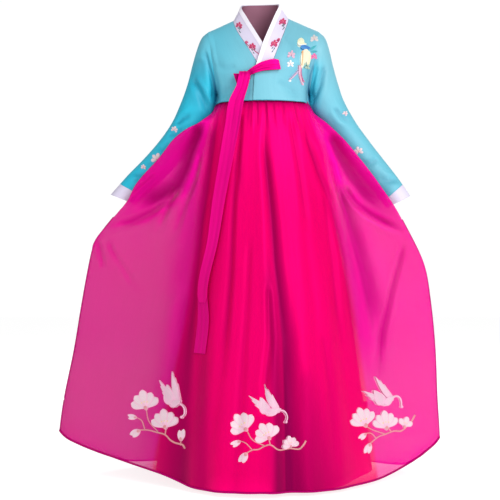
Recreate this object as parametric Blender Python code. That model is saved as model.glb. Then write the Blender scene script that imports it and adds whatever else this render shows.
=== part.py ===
"""A korean hanbok in the form it takes when worn, as hollow cloth walls: a short jacket (jeogori)
over a high-waisted wrap skirt (chima) of sheer organza on a satin under-skirt, the organza held
out at both sides.

Metres, +Z up. The origin lies between the shoulders, where the garment is held up. The front
faces -Y, and +X is the wearer's left. Every wall is sampled from a surface function: theta runs
round the body from the centre front, 90 degrees being the wearer's left, and v runs down a skirt.
"""

import math

import bpy
import numpy as np

# ---- Driving sizes ----
JACKET_WALL = 0.0018
COLLAR_WALL = 0.0020
SATIN_WALL = 0.0014
ORGANZA_WALL = 0.0012
RIBBON_WALL = 0.0012
STRIP_WALL = 0.0010
BAND_WALL = 0.0020
SEAM = 0.0006  # room between two pieces that are sewn edge to edge
NECK_SEAM = 0.0014  # the same round the neck, where both edges are bent
LAY = 0.0007  # room between a piece and the one that it lies on
LINING_LAY = 0.0030  # the same where both are bent round the neck

JACKET_HEM_Z = -0.232
JACKET_HEM_HALF_WIDTH = 0.1435
JACKET_BACK_DEPTH = 0.1160
UNDER_FRONT_DEPTH = 0.1150
OVER_FRONT_DEPTH = 0.1200
SIDE_SEAM_SHARE = 0.16  # the part of a panel's side edge that lies below the armpit
ARMHOLE_HALF_DEPTH = 0.062

SKIRT_TOP_Z = -0.199
SATIN_HEM_Z = -1.318
SATIN_SIDE_DROP = 0.008
SIDE_FLATNESS = 0.6  # how far the two layers of a drawn-out side close up on each other
FULLY_DRAWN_OUT = 0.10  # a side that reaches this far past the ellipse closes up all the way
SEAM_ANGLE = 0.17  # degrees left open on each side of a skirt seam
WRAP_ANGLE = 8.0  # degrees that each back panel runs past the centre back

# ---- Tables of sections ----
# Ellipses of the satin under-skirt: height, half width, half depth, middle x
SATIN = (
    (-1.330, 0.326, 0.326, 0.002),
    (-1.236, 0.312, 0.310, 0.004),
    (-1.116, 0.290, 0.290, 0.010),
    (-0.966, 0.265, 0.262, 0.014),
    (-0.790, 0.238, 0.228, 0.016),
    (-0.606, 0.207, 0.190, 0.012),
    (-0.456, 0.186, 0.160, 0.009),
    (-0.397, 0.175, 0.147, 0.007),
    (-0.327, 0.160, 0.131, 0.004),
    (-0.257, 0.1390, 0.1110, 0.001),
    (-0.232, 0.1300, 0.1010, 0.000),
    (-0.199, 0.1200, 0.0960, 0.000),
)
# Rings of the organza: an ellipse drawn out into a rounded point on each side.
# height, half width, half depth, middle x, reach of the right and left points, their y, sharpness
ORGANZA = (
    (-1.340, 0.338, 0.337, 0.002, 0.610, 0.529, 0.000, 8.0),
    (-1.206, 0.320, 0.321, 0.004, 0.609, 0.528, 0.000, 8.0),
    (-1.116, 0.302, 0.304, 0.010, 0.596, 0.521, -0.006, 8.5),
    (-0.966, 0.277, 0.276, 0.014, 0.563, 0.513, -0.020, 9.0),
    (-0.814, 0.254, 0.245, 0.016, 0.535, 0.495, -0.040, 10.0),
    (-0.695, 0.236, 0.219, 0.013, 0.509, 0.469, -0.065, 11.0),
    (-0.637, 0.226, 0.207, 0.012, 0.493, 0.438, -0.080, 12.0),
    (-0.590, 0.218, 0.197, 0.011, 0.454, 0.412, -0.085, 12.0),
    (-0.537, 0.210, 0.186, 0.010, 0.405, 0.382, -0.085, 12.0),
    (-0.467, 0.198, 0.172, 0.009, 0.355, 0.330, -0.085, 12.0),
    (-0.397, 0.186, 0.157, 0.007, 0.299, 0.277, -0.085, 12.0),
    (-0.327, 0.171, 0.141, 0.004, 0.241, 0.218, -0.080, 12.0),
    (-0.292, 0.161, 0.132, 0.002, 0.194, 0.186, -0.068, 12.0),
    (-0.257, 0.1490, 0.1220, 0.001, 0.1500, 0.1500, -0.020, 10.0),
    (-0.232, 0.1400, 0.1090, 0.000, 0.1400, 0.1400, 0.000, 6.0),
    (-0.199, 0.1219, 0.1000, 0.000, 0.1219, 0.1219, 0.000, 6.0),
)
# The organza's hem: angle from the centre front, height at the wearer's right, at the left
ORGANZA_HEM = (
    (0, -1.325, -1.325),
    (20, -1.327, -1.327),
    (30, -1.327, -1.329),
    (40, -1.322, -1.329),
    (50, -1.303, -1.328),
    (60, -1.288, -1.321),
    (70, -1.264, -1.293),
    (80, -1.235, -1.254),
    (90, -1.210, -1.230),
    (100, -1.247, -1.270),
    (105, -1.270, -1.299),
    (110, -1.294, -1.322),
    (115, -1.316, -1.328),
    (125, -1.328, -1.328),
    (190, -1.328, -1.328),
)
# Soft folds of the organza: angle at the top and at the hem, where each starts and is deepest
# (0 top, 1 hem), its height and its half width in degrees
FOLDS = (
    (-52, -50, 0.10, 0.45, 0.010, 10),
    (-34, -35, 0.06, 0.60, 0.012, 9),
    (-20, -22, 0.05, 0.90, 0.010, 9),
    (-6, -8, 0.05, 0.80, 0.009, 9),
    (8, 5, 0.05, 0.95, 0.011, 9),
    (22, 22, 0.05, 0.70, 0.010, 9),
    (36, 38, 0.08, 0.60, 0.012, 10),
    (54, 52, 0.12, 0.45, 0.010, 10),
    (112, 118, 0.10, 0.70, 0.010, 10),
    (128, 131, 0.05, 0.95, 0.012, 9),
    (143, 146, 0.05, 0.70, 0.010, 9),
    (157, 160, 0.05, 0.95, 0.011, 9),
    (-112, -118, 0.10, 0.70, 0.010, 10),
    (-128, -132, 0.05, 0.90, 0.012, 9),
    (-144, -147, 0.05, 0.75, 0.010, 9),
    (-158, -161, 0.05, 0.95, 0.011, 9),
)
# Sleeves: each ring spans from its outer to its inner point. Outer x, outer z, inner x, inner z,
# middle y, half depth. The first ring is the armhole and x counts away from the body.
SLEEVE_RIGHT = (
    (0.1640, -0.0130, 0.1375, -0.2000, 0.000, 0.062),
    (0.1840, -0.0320, 0.1400, -0.2060, 0.000, 0.062),
    (0.1985, -0.0680, 0.1430, -0.2130, 0.000, 0.060),
    (0.2120, -0.1150, 0.1455, -0.2220, 0.000, 0.057),
    (0.2265, -0.1700, 0.1470, -0.2330, 0.002, 0.054),
    (0.2455, -0.2220, 0.1560, -0.2620, 0.006, 0.050),
    (0.2730, -0.2820, 0.1990, -0.3300, 0.012, 0.047),
    (0.3110, -0.3370, 0.2460, -0.3920, 0.015, 0.045),
    (0.3570, -0.3900, 0.2940, -0.4470, 0.015, 0.043),
    (0.4020, -0.4370, 0.3370, -0.4880, 0.008, 0.040),
    (0.4285, -0.4680, 0.3570, -0.5080, 0.000, 0.038),
)
SLEEVE_LEFT = (
    (0.1670, -0.0120, 0.1375, -0.2000, 0.000, 0.062),
    (0.1865, -0.0320, 0.1400, -0.2060, 0.000, 0.062),
    (0.1985, -0.0660, 0.1430, -0.2130, 0.000, 0.060),
    (0.2100, -0.1150, 0.1455, -0.2220, 0.000, 0.057),
    (0.2255, -0.1700, 0.1470, -0.2330, 0.002, 0.054),
    (0.2445, -0.2220, 0.1565, -0.2640, 0.006, 0.050),
    (0.2790, -0.2820, 0.2060, -0.3310, 0.012, 0.047),
    (0.3190, -0.3370, 0.2540, -0.3920, 0.015, 0.045),
    (0.3600, -0.3900, 0.2980, -0.4480, 0.015, 0.043),
    (0.3960, -0.4370, 0.3320, -0.4890, 0.008, 0.040),
    (0.4180, -0.4690, 0.3560, -0.5230, 0.000, 0.038),
)
# Each cuff runs on from the last ring of its sleeve to this one
CUFF_RIGHT_END = (0.4560, -0.5000, 0.3820, -0.5300, -0.004, 0.037)
CUFF_LEFT_END = (0.4410, -0.5040, 0.3690, -0.5400, -0.004, 0.037)

# The collar, from its end at the wearer's right, under the other, round the back of the neck to
# its end at the wearer's left: place along it, inner edge x y z, outer edge x y z
COLLAR = (
    (0.00, 0.0120, -0.1085, -0.0860, -0.0040, -0.1125, -0.1420),
    (0.07, -0.0011, -0.1045, -0.0647, -0.0186, -0.1090, -0.1190),
    (0.19, -0.0243, -0.0780, -0.0226, -0.0480, -0.0860, -0.0680),
    (0.29, -0.0480, -0.0400, 0.0230, -0.0777, -0.0420, -0.0148),
    (0.38, -0.0660, 0.0000, 0.0640, -0.0870, 0.0050, 0.0240),
    (0.45, -0.0500, 0.0480, 0.0780, -0.0640, 0.0600, 0.0380),
    (0.51, -0.0090, 0.0660, 0.0826, -0.0060, 0.0840, 0.0420),
    (0.57, 0.0340, 0.0480, 0.0800, 0.0530, 0.0600, 0.0410),
    (0.64, 0.0480, 0.0000, 0.0690, 0.0750, 0.0050, 0.0300),
    (0.73, 0.0323, -0.0420, 0.0260, 0.0650, -0.0440, -0.0117),
    (0.82, 0.0154, -0.0840, -0.0196, 0.0490, -0.0890, -0.0578),
    (0.92, -0.0012, -0.1130, -0.0647, 0.0309, -0.1150, -0.1070),
    (1.00, -0.0216, -0.1195, -0.1298, 0.0220, -0.1175, -0.1320),
)
COLLAR_NECK_RIGHT = 0.38  # the neck points of the shoulder seams, along the collar
COLLAR_NECK_LEFT = 0.64
COLLAR_BACK = 0.51
LINING_REACH = 0.5  # how much of the back's height the neck lining covers

# The waistband of the skirts, an ellipse round the chest: half width, half depth
WAISTBAND_HALF_WIDTH = 0.1180
WAISTBAND_HALF_DEPTH = 0.0940
WAISTBAND_TOP_Z = -0.130
WAISTBAND_BOTTOM_Z = -0.203

# The tied ribbon. Its two tails: height, middle x, width
TAIL_FRONT = (
    (-0.1500, -0.0535, 0.0330),
    (-0.1680, -0.0560, 0.0345),
    (-0.1870, -0.0600, 0.0345),
    (-0.2325, -0.0780, 0.0430),
    (-0.3000, -0.0895, 0.0430),
    (-0.4100, -0.1093, 0.0400),
    (-0.5230, -0.1290, 0.0365),
    (-0.6375, -0.1458, 0.0315),
    (-0.7790, -0.1748, 0.0285),
    (-0.8000, -0.1755, 0.0270),
    (-0.8150, -0.1750, 0.0180),
)
TAIL_BACK = (
    (-0.2000, -0.0640, 0.0300),
    (-0.2325, -0.0780, 0.0380),
    (-0.3000, -0.0895, 0.0390),
    (-0.4100, -0.1093, 0.0360),
    (-0.5230, -0.1290, 0.0330),
    (-0.6375, -0.1458, 0.0290),
    (-0.7790, -0.1748, 0.0270),
    (-0.8630, -0.1720, 0.0330),
    (-0.9580, -0.1820, 0.0340),
)
TAIL_REST = 0.0046  # from the folds of the organza to the outer face of the tail on them
TAIL_FRONT_TOP_Y = -0.1299  # just in front of the knot
TAIL_BACK_TOP_Y = -0.1262
TAIL_HANGS_DOWN_TO = -0.190
TAIL_LIES_BELOW_Z = -0.300
# The loop, from the knot to its far end: place, upper edge x z, lower edge x z, middle y, half depth
LOOP = (
    (0.00, -0.0545, -0.1575, -0.0470, -0.1680, -0.1225, 0.0028),
    (0.15, -0.0455, -0.1475, -0.0360, -0.1600, -0.1235, 0.0029),
    (0.40, -0.0150, -0.1275, -0.0100, -0.1500, -0.1270, 0.0050),
    (0.75, 0.0270, -0.1150, 0.0290, -0.1450, -0.1275, 0.0055),
    (1.00, 0.0447, -0.1166, 0.0504, -0.1438, -0.1260, 0.0030),
)
# The wrap of the knot: a short flattened tube, whose axis runs up to the wearer's left
KNOT_MIDDLE = (-0.0545, -0.1225, -0.1650)
KNOT_TILT = 35.0  # degrees
KNOT_LENGTH = 0.022
KNOT_HALF_HEIGHT = 0.0150
KNOT_HALF_DEPTH = 0.0055
# The end that shows as a point behind the knot: height, left x, right x
SHORT_END = (
    (-0.1545, -0.0875, -0.0520),
    (-0.1700, -0.0825, -0.0560),
    (-0.1870, -0.0765, -0.0620),
)
SHORT_END_Y = -0.1165


# ---- Curves and surfaces ----
def read_table(rows, key):
    """The columns after the first at this value of the first: a smooth curve through the rows."""
    table = np.array(sorted(rows), float)
    keys, values = table[:, 0], table[:, 1:]
    key = min(max(key, keys[0]), keys[-1])
    slopes = np.gradient(values, keys, axis=0)
    at = min(int(np.searchsorted(keys, key, side="right")) - 1, len(keys) - 2)
    width = keys[at + 1] - keys[at]
    t = (key - keys[at]) / width
    ahead, back = t * t * (3 - 2 * t), t * (1 - t)
    bend = width * back * ((1 - t) * slopes[at] - t * slopes[at + 1])
    return (1 - ahead) * values[at] + ahead * values[at + 1] + bend


def ease(t):
    """0 before 0, 1 after 1, and a smooth step between."""
    t = min(max(t, 0.0), 1.0)
    return t * t * (3 - 2 * t)


def mix(a, b, t):
    return (1 - t) * np.array(a, float) + t * np.array(b, float)


def unit(vector):
    return vector / max(np.linalg.norm(vector), 1e-12)


def normals_of(surface, step_u, step_v):
    """The unit normals of a surface, each read across a small step."""

    def normal(u, v):
        along = surface(u + step_u, v) - surface(u - step_u, v)
        across = surface(u, v + step_v) - surface(u, v - step_v)
        return unit(np.cross(along, across))

    return normal


def moved_out(surface, distance, normals):
    """The surface moved along its normals, outwards where distance is above 0."""

    def moved(u, v):
        return surface(u, v) + distance * normals(u, v)

    return moved


def patch(left, right, bottom, top):
    """A sheet between four edges: left(v), right(v), bottom(u) and top(u), u to the right, v up.
    The left edge's bends fade out fast, so that the corner of the armpit makes no crease."""
    corners = (bottom(0.0), bottom(1.0), top(0.0), top(1.0))

    def surface(u, v):
        away = 1 - (1 - u) * abs(1 - u)
        across = mix(left(v), right(v), away)
        along = mix(bottom(u), top(u), v)
        flat = mix(mix(corners[0], corners[1], away), mix(corners[2], corners[3], away), v)
        return across + along - flat

    return surface


def softened(surface):
    """The sheet with its bends rounded everywhere but along its edges."""

    def soft(u, v):
        inside = max(min(1.0, 6 * u * (1 - u)), 0.0) * max(min(1.0, 6 * v * (1 - v)), 0.0)
        reach = 0.15 * inside
        shares = ((-1.0, 1), (-0.5, 2), (0.0, 3), (0.5, 2), (1.0, 1))
        return sum(weight * surface(u, v + share * reach) for share, weight in shares) / 9

    return soft


def steps_between(start, end, count):
    return [start + (end - start) * i / count for i in range(count + 1)]


# ---- Making objects ----
def finish(name, colour, roughness, alpha=1.0):
    material = bpy.data.materials.new(name)
    material.use_nodes = True
    shader = material.node_tree.nodes["Principled BSDF"]
    shader.inputs["Base Color"].default_value = (*colour, 1.0)
    shader.inputs["Roughness"].default_value = roughness
    shader.inputs["Alpha"].default_value = alpha
    material.diffuse_color = (*colour, 1.0)
    return material


def add_mesh(name, points, faces, material):
    mesh = bpy.data.meshes.new(name)
    mesh.from_pydata([tuple(p) for p in points], [], faces)
    mesh.materials.append(material)
    mesh.shade_smooth()
    mesh.set_sharp_from_angle(angle=math.radians(50))
    piece = bpy.data.objects.new(name, mesh)
    bpy.context.scene.collection.objects.link(piece)
    return piece


def wall(name, surface, us, vs, thickness, material, normals, closed=False):
    """A wall from the surface inwards. Closed: the last column of us joins the first.
    Both faces are split along the same diagonals, so that a twisted wall keeps its thickness."""
    rows = len(vs)
    outer = [surface(u, v) for u in us for v in vs]
    inner = [surface(u, v) - thickness * normals(u, v) for u in us for v in vs]
    columns = len(us)
    under = len(outer)
    faces = []
    for i in range(columns if closed else columns - 1):
        j = (i + 1) % columns
        for k in range(rows - 1):
            a, b, c, d = i * rows + k, j * rows + k, j * rows + k + 1, i * rows + k + 1
            for first, second, third in ((a, b, c), (a, c, d)):
                faces.append((first, second, third))
                faces.append((under + third, under + second, under + first))
        for k, turned in ((0, False), (rows - 1, True)):
            rim = (i * rows + k, under + i * rows + k, under + j * rows + k, j * rows + k)
            faces.append(rim[::-1] if turned else rim)
    if not closed:
        for i, turned in ((0, True), (columns - 1, False)):
            for k in range(rows - 1):
                a, b = i * rows + k, i * rows + k + 1
                rim = (a, under + a, under + b, b)
                faces.append(rim[::-1] if turned else rim)
    return add_mesh(name, outer + inner, faces, material)


# ---- Skirts ----
def ring_point(theta, half_width, half_depth, middle, reach_right, reach_left, point_y, sharp):
    """A point of a ring whose ellipse is drawn out to reach_right at -90 and reach_left at +90."""
    sine, cosine = math.sin(theta), math.cos(theta)
    if sine < 0:
        extra = max(reach_right + middle - half_width, 0.0)
    else:
        extra = max(reach_left - middle - half_width, 0.0)
    pull = abs(sine) ** sharp
    flat = SIDE_FLATNESS * min(extra / FULLY_DRAWN_OUT, 1.0) * sine**6
    x = middle + half_width * sine + math.copysign(extra * pull, sine)
    return np.array((x, -half_depth * cosine * (1 - flat) + point_y * pull))


def plan_normal(curve, theta):
    """The outward normal, in plan, of a curve that runs round anticlockwise."""
    step = 0.004
    along = curve(theta + step) - curve(theta - step)
    return unit(np.array((along[1], -along[0])))


def flap(theta, v):
    """How far the wearer's left back panel is lifted where it wraps over the right one."""
    return (0.0024 + 0.0026 * ease((v - 0.05) * 5)) * ease((math.degrees(theta) - 148) / 14)


def organza_hem(theta):
    heights = read_table(ORGANZA_HEM, abs(math.degrees(theta)))
    return mix(heights[0], heights[1], ease(0.5 + math.sin(theta)))


def fold_height(theta, v):
    degrees = math.degrees(theta)
    total = 0.0
    for top, hem, start, deepest, height, half_width in FOLDS:
        middle = top + (hem - top) * v
        away = (degrees - middle) / half_width
        if abs(away) < 1:
            along = ease((v - start) / (deepest - start)) * (1 - 0.25 * ease((v - deepest) / 0.5))
            total += height * along * math.cos(math.pi / 2 * away) ** 2
    return total


def organza(theta, v):
    z = SKIRT_TOP_Z + v * (organza_hem(theta) - SKIRT_TOP_Z)
    section = read_table(ORGANZA, z)

    def ring(angle):
        return ring_point(angle, *section)

    lift = fold_height(theta, v) + flap(theta, v)
    x, y = ring(theta) + lift * plan_normal(ring, theta)
    return np.array((x, y, z))


def satin(theta, v):
    hem = SATIN_HEM_Z - SATIN_SIDE_DROP * math.sin(theta) ** 2
    z = SKIRT_TOP_Z + v * (hem - SKIRT_TOP_Z)
    half_width, half_depth, middle = read_table(SATIN, z)

    def ring(angle):
        return np.array((middle + half_width * math.sin(angle), -half_depth * math.cos(angle)))

    soft = 0.004 * ease(3 * v) * (1 - math.cos(9 * theta))
    x, y = ring(theta) + (flap(theta, v) - soft) * plan_normal(ring, theta)
    return np.array((x, y, z))


def inside_out(surface):
    """The surface with u turned round, so that its normals point the other way."""

    def turned(u, v):
        return surface(-u, v)

    return turned


def skirt_panel(name, surface, start, end, columns, heights, thickness, material):
    """A skirt panel between two angles, in degrees. v runs down, so u is turned for the normals."""
    first, last = math.radians(start + SEAM_ANGLE), math.radians(end - SEAM_ANGLE)
    angles = [-a for a in steps_between(first, last, columns)][::-1]
    turned = inside_out(surface)
    return wall(
        name, turned, angles, heights, thickness, material, normals_of(turned, 0.004, 0.004)
    )


def build_skirts(organza_finish, satin_finish):
    organza_heights = (
        0, 0.03, 0.06, 0.10, 0.15, 0.21, 0.28, 0.35, 0.40, 0.45, 0.52, 0.65, 0.82, 1,
    )
    satin_heights = (0, 0.05, 0.13, 0.27, 0.48, 0.74, 1)
    back = 180 + WRAP_ANGLE
    for name, start, end, columns in (
        ("organza_front", -57, 57, 28),
        ("organza_side_left", 57, 123, 12),
        ("organza_back_left", 123, back, 10),
        ("organza_side_right", -123, -57, 12),
        ("organza_back_right", -back, -123, 10),
    ):
        skirt_panel(
            name, organza, start, end, columns, organza_heights, ORGANZA_WALL, organza_finish
        )
    for name, start, end, columns in (
        ("satin_front", -90, 90, 20),
        ("satin_back_left", 90, back, 10),
        ("satin_back_right", -back, -90, 10),
    ):
        skirt_panel(name, satin, start, end, columns, satin_heights, SATIN_WALL, satin_finish)


# ---- Jacket ----
def hem_arc(side, depth, start, end):
    """The jacket's hem from u 0 to 1, between two angles from the side seam, seen from above."""

    def edge(u):
        angle = math.radians(start + (end - start) * u)
        x = side * JACKET_HEM_HALF_WIDTH * math.cos(angle)
        return np.array((x, -depth * math.sin(angle), JACKET_HEM_Z))

    return edge


def side_edge(side, face):
    """Up the side seam and then round one half of the armhole. face is -1 in front, 1 behind."""
    rings = SLEEVE_LEFT if side > 0 else SLEEVE_RIGHT
    outer_x, outer_z, inner_x, inner_z = rings[0][:4]
    middle = np.array(((outer_x + inner_x) / 2, (outer_z + inner_z) / 2))
    half = np.array(((outer_x - inner_x) / 2, (outer_z - inner_z) / 2))
    bottom = np.array((side * JACKET_HEM_HALF_WIDTH, 0.0, JACKET_HEM_Z))
    armpit = np.array((side * inner_x, 0.0, inner_z))

    def edge(v):
        if v < SIDE_SEAM_SHARE:
            point = mix(bottom, armpit, v / SIDE_SEAM_SHARE)
            return point + np.array((0.0, face * SEAM / 2, 0.0))
        turn = math.pi * (1 - (v - SIDE_SEAM_SHARE) / (1 - SIDE_SEAM_SHARE))
        x, z = middle + half * math.cos(turn)
        y = face * (ARMHOLE_HALF_DEPTH * math.sin(turn) + SEAM / 2)
        return np.array((side * x, y, z))

    return edge


def collar_edges(place):
    row = read_table(COLLAR, place)
    return row[:3], row[3:]


def neck_seam(place):
    """Where the body's edge runs along the collar: just outside the collar's outer edge."""
    inner, outer = collar_edges(place)
    return outer + NECK_SEAM * unit(outer - inner)


def front_edge(side):
    """From the hem up the front edge, and then along the collar to the shoulder seam."""
    if side < 0:
        lower = ((0.034, -0.1120, JACKET_HEM_Z), (0.022, -0.1110, -0.180))
        first, last = 0.0, COLLAR_NECK_RIGHT
        depth_at = None
    else:
        lower = ((-0.030, -0.1175, JACKET_HEM_Z), (-0.0245, -0.1192, -0.1340))
        first, last = 1.0, COLLAR_NECK_LEFT
        depth_at = (0.0215, -0.1178, -0.1345)

    def edge(v):
        if v < 0.40:
            return mix(lower[0], lower[1], v / 0.40)
        if v < 0.48:
            corner = neck_seam(first) if depth_at is None else np.array(depth_at)
            return mix(lower[1], corner, (v - 0.40) / 0.08)
        return neck_seam(first + (last - first) * (v - 0.48) / 0.52)

    return edge


def shoulder_edge(side, face):
    """From the tip of the shoulder to the neck point."""
    tip = side_edge(side, face)(1.0)
    neck = neck_seam(COLLAR_NECK_LEFT if side > 0 else COLLAR_NECK_RIGHT)
    neck = neck + np.array((0.0, face * SEAM / 2, 0.0))

    def edge(u):
        return mix(tip, neck, u)

    return edge


def back_top_edge(side):
    """The shoulder seam, and then the collar's seam to the centre back."""
    shoulder = shoulder_edge(side, 1)
    neck_place = COLLAR_NECK_LEFT if side > 0 else COLLAR_NECK_RIGHT

    def edge(u):
        if u < 0.5:
            return shoulder(u / 0.5)
        place = neck_place + (COLLAR_BACK - neck_place) * (u - 0.5) / 0.5
        return neck_seam(place) + np.array((side * SEAM / 2 * (u - 0.5) / 0.5, 0.0, 0.0))

    return edge


def centre_back(side):
    bottom = np.array((side * SEAM / 2, JACKET_BACK_DEPTH, JACKET_HEM_Z))
    top = back_top_edge(side)(1.0)
    middle = np.array((side * SEAM / 2, 0.1180, -0.090))

    def edge(v):
        return read_table(((0.0, *bottom), (0.6, *middle), (1.0, *top)), v)

    return edge


def front_panel(side):
    shoulder = shoulder_edge(side, -1)
    edge = front_edge(side)

    def neck_edge(v):
        point = edge(v)
        gap = np.array((0.0, -SEAM / 2, 0.0))
        return point + gap * ease((v - 0.9) / 0.1)

    end = 105.3 if side < 0 else 102.1
    depth = UNDER_FRONT_DEPTH if side < 0 else OVER_FRONT_DEPTH
    hem = hem_arc(side, depth, 0, end)
    return softened(patch(side_edge(side, -1), neck_edge, hem, shoulder))


def back_panel(side):
    hem = hem_arc(side, -JACKET_BACK_DEPTH, 0, 90)
    return softened(patch(side_edge(side, 1), centre_back(side), hem, back_top_edge(side)))


def facing_out(surface, flip):
    """The surface, with u turned end for end where flip says so, so that normals point outwards."""

    def turned(u, v):
        return surface(1 - u, v)

    return turned if flip else surface


def mitred_at_shoulder(surface):
    """Normals that have no y at the shoulder seam, so that the walls of front and back meet."""
    plain = normals_of(surface, 0.02, 0.02)

    def normal(u, v):
        straight = plain(u, v)
        straight[1] *= 1 - ease((v - 0.85) / 0.15)
        return unit(straight)

    return normal


def build_body(material):
    us = steps_between(0, 1, 8)
    vs = (0, 0.08, 0.16, 0.28, 0.40, 0.48, 0.60, 0.73, 0.86, 1)
    for name, surface, flip in (
        ("jeogori_front_right", front_panel(-1), False),
        ("jeogori_front_left", front_panel(1), True),
        ("jeogori_back_right", back_panel(-1), True),
        ("jeogori_back_left", back_panel(1), False),
    ):
        turned = facing_out(surface, flip)
        wall(name, turned, us, vs, JACKET_WALL, material, mitred_at_shoulder(turned))


def sleeve_ring(row, side, turn):
    """A point of a sleeve ring: turn 0 is its outer point, a quarter its front."""
    outer_x, outer_z, inner_x, inner_z, middle_y, half_depth = row
    along = math.cos(turn)
    x = (outer_x + inner_x) / 2 + (outer_x - inner_x) / 2 * along
    z = (outer_z + inner_z) / 2 + (outer_z - inner_z) / 2 * along
    return np.array((side * x, middle_y - half_depth * math.sin(turn), z))


def sleeve_surface(rings, side):
    rows = [(i / (len(rings) - 1), *ring) for i, ring in enumerate(rings)]

    def surface(turn, v):
        return sleeve_ring(read_table(rows, v), side, side * turn)

    return surface


def build_sleeves(jacket, cuff_finish):
    turns = steps_between(0, 2 * math.pi, 14)[:-1]
    for name, rings, cuff_end, side in (
        ("right", SLEEVE_RIGHT, CUFF_RIGHT_END, -1),
        ("left", SLEEVE_LEFT, CUFF_LEFT_END, 1),
    ):
        sleeve = sleeve_surface(rings, side)
        vs = [0.006] + [i / (len(rings) - 1) for i in range(1, len(rings))]
        normals = normals_of(sleeve, 0.02, 0.01)
        wall(f"sleeve_{name}", sleeve, turns, vs, JACKET_WALL, jacket, normals, closed=True)
        cuff = sleeve_surface((rings[-1], cuff_end), side)
        normals = normals_of(cuff, 0.02, 0.01)
        wall(
            f"cuff_{name}", cuff, turns, (0.015, 1), JACKET_WALL, cuff_finish, normals,
            closed=True,
        )


# ---- Collar ----
def collar_surface(place, across):
    """across 0 is the inner edge, round the neck, and 1 the seam with the body."""
    inner, outer = collar_edges(place)
    return mix(inner, outer, across)


def build_collar(collar_finish, strip_finish):
    normals = normals_of(collar_surface, 0.01, 0.05)
    places = steps_between(0.0, 1.0, 28)
    wall("collar", collar_surface, places, (0, 0.3, 0.65, 1), COLLAR_WALL, collar_finish, normals)
    strip = moved_out(collar_surface, LAY + STRIP_WALL, normals)
    wall("dongjeong", strip, places, (0.0, 0.3), STRIP_WALL, strip_finish, normals)


def lining_surface():
    """Inside the back of the collar for v from 1 to 0, and from there down inside the back."""
    collar_normals = normals_of(collar_surface, 0.01, 0.05)
    inside_collar = moved_out(collar_surface, -COLLAR_WALL - LINING_LAY, collar_normals)
    backs = {}
    for side in (-1, 1):
        panel = facing_out(back_panel(side), side < 0)
        backs[side] = moved_out(panel, -JACKET_WALL - LINING_LAY, mitred_at_shoulder(panel))

    def surface(place, v):
        if v >= 0:
            return inside_collar(place, 1 - v)
        side = -1 if place < COLLAR_BACK else 1
        neck_place = COLLAR_NECK_RIGHT if side < 0 else COLLAR_NECK_LEFT
        u = 0.5 + 0.5 * (place - neck_place) / (COLLAR_BACK - neck_place)
        return backs[side](1 - u if side < 0 else u, 1 + v * LINING_REACH)

    return surface


def build_lining(material):
    surface = inside_out(lining_surface())
    margin = 0.012
    places = steps_between(margin - COLLAR_NECK_LEFT, -COLLAR_NECK_RIGHT - margin, 12)
    rows = (-1, -0.5, -0.08, 0.1, 0.55, 1)
    normals = normals_of(surface, 0.01, 0.05)
    wall("back_neck_lining", surface, places, rows, STRIP_WALL, material, normals)


# ---- Waistband and ribbon ----
def build_waistband(material):
    """An ellipse whose end at the wearer's right is tucked in under the other at the back."""

    def surface(theta, v):
        tuck = (BAND_WALL + LAY) * ease((-math.degrees(theta) - 158) / 12)
        z = WAISTBAND_BOTTOM_Z + v * (WAISTBAND_TOP_Z - WAISTBAND_BOTTOM_Z)
        x = (WAISTBAND_HALF_WIDTH - tuck) * math.sin(theta)
        return np.array((x, -(WAISTBAND_HALF_DEPTH - tuck) * math.cos(theta), z))

    end = math.radians(180 + WRAP_ANGLE)
    normals = normals_of(surface, 0.004, 0.004)
    wall(
        "chima_waistband", surface, steps_between(-end, end, 38), (0, 1), BAND_WALL, material,
        normals,
    )


def organza_depth(x, z):
    """The y of the organza's front at this x and z, found by Newton's steps."""
    theta = math.asin(max(min(x / 0.25, 0.9), -0.9))
    v = (z - SKIRT_TOP_Z) / (organza_hem(theta) - SKIRT_TOP_Z)
    step = 1e-4
    for _ in range(8):
        point = organza(theta, v)
        by_theta = (organza(theta + step, v) - point)[[0, 2]] / step
        by_v = (organza(theta, v + step) - point)[[0, 2]] / step
        miss = np.array((x, z)) - point[[0, 2]]
        turn, run = np.linalg.solve(np.column_stack((by_theta, by_v)), miss)
        theta, v = theta + turn, v + run
    return organza(theta, v)[1]


def resting_edges(left, right, z):
    """The y of both edges of a flat ribbon that rests on the organza's folds."""
    shares = steps_between(0, 1, 8)
    depths = [organza_depth(left + share * (right - left), z) for share in shares]
    out = max(mix(depths[0], depths[-1], share) - y for share, y in zip(shares, depths))
    return depths[0] - out, depths[-1] - out


def tail_rows(table, top_y, rise, count):
    """Stations of a tail from its end upwards: height, left x y, right x y."""
    heights = steps_between(table[-1][0], table[0][0], count)
    rows = []
    for z in heights:
        middle, width = read_table(table, z)
        left, right = middle - width / 2, middle + width / 2
        lying = ease((TAIL_HANGS_DOWN_TO - z) / (TAIL_HANGS_DOWN_TO - TAIL_LIES_BELOW_Z))
        y_left, y_right = resting_edges(left, right, min(z, TAIL_LIES_BELOW_Z + 0.06))
        depth_left = mix(top_y, y_left - rise, lying)
        depth_right = mix(top_y, y_right - rise, lying)
        rows.append((z, left, depth_left, right, depth_right))
    return rows


def build_tail(name, table, top_y, rise, material):
    count = 20
    rows = tail_rows(table, top_y, rise, count)

    def surface(u, v):
        at = v * (len(rows) - 1)
        below = min(int(at + 1e-9), len(rows) - 2)
        z, left_x, left_y, right_x, right_y = mix(rows[below], rows[below + 1], at - below)
        return np.array((*mix((left_x, left_y), (right_x, right_y), u), z))

    normals = normals_of(surface, 0.05, 0.5 / count)
    vs = steps_between(0, 1, count)
    wall(name, surface, (0, 0.5, 1), vs, RIBBON_WALL, material, normals)


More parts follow.
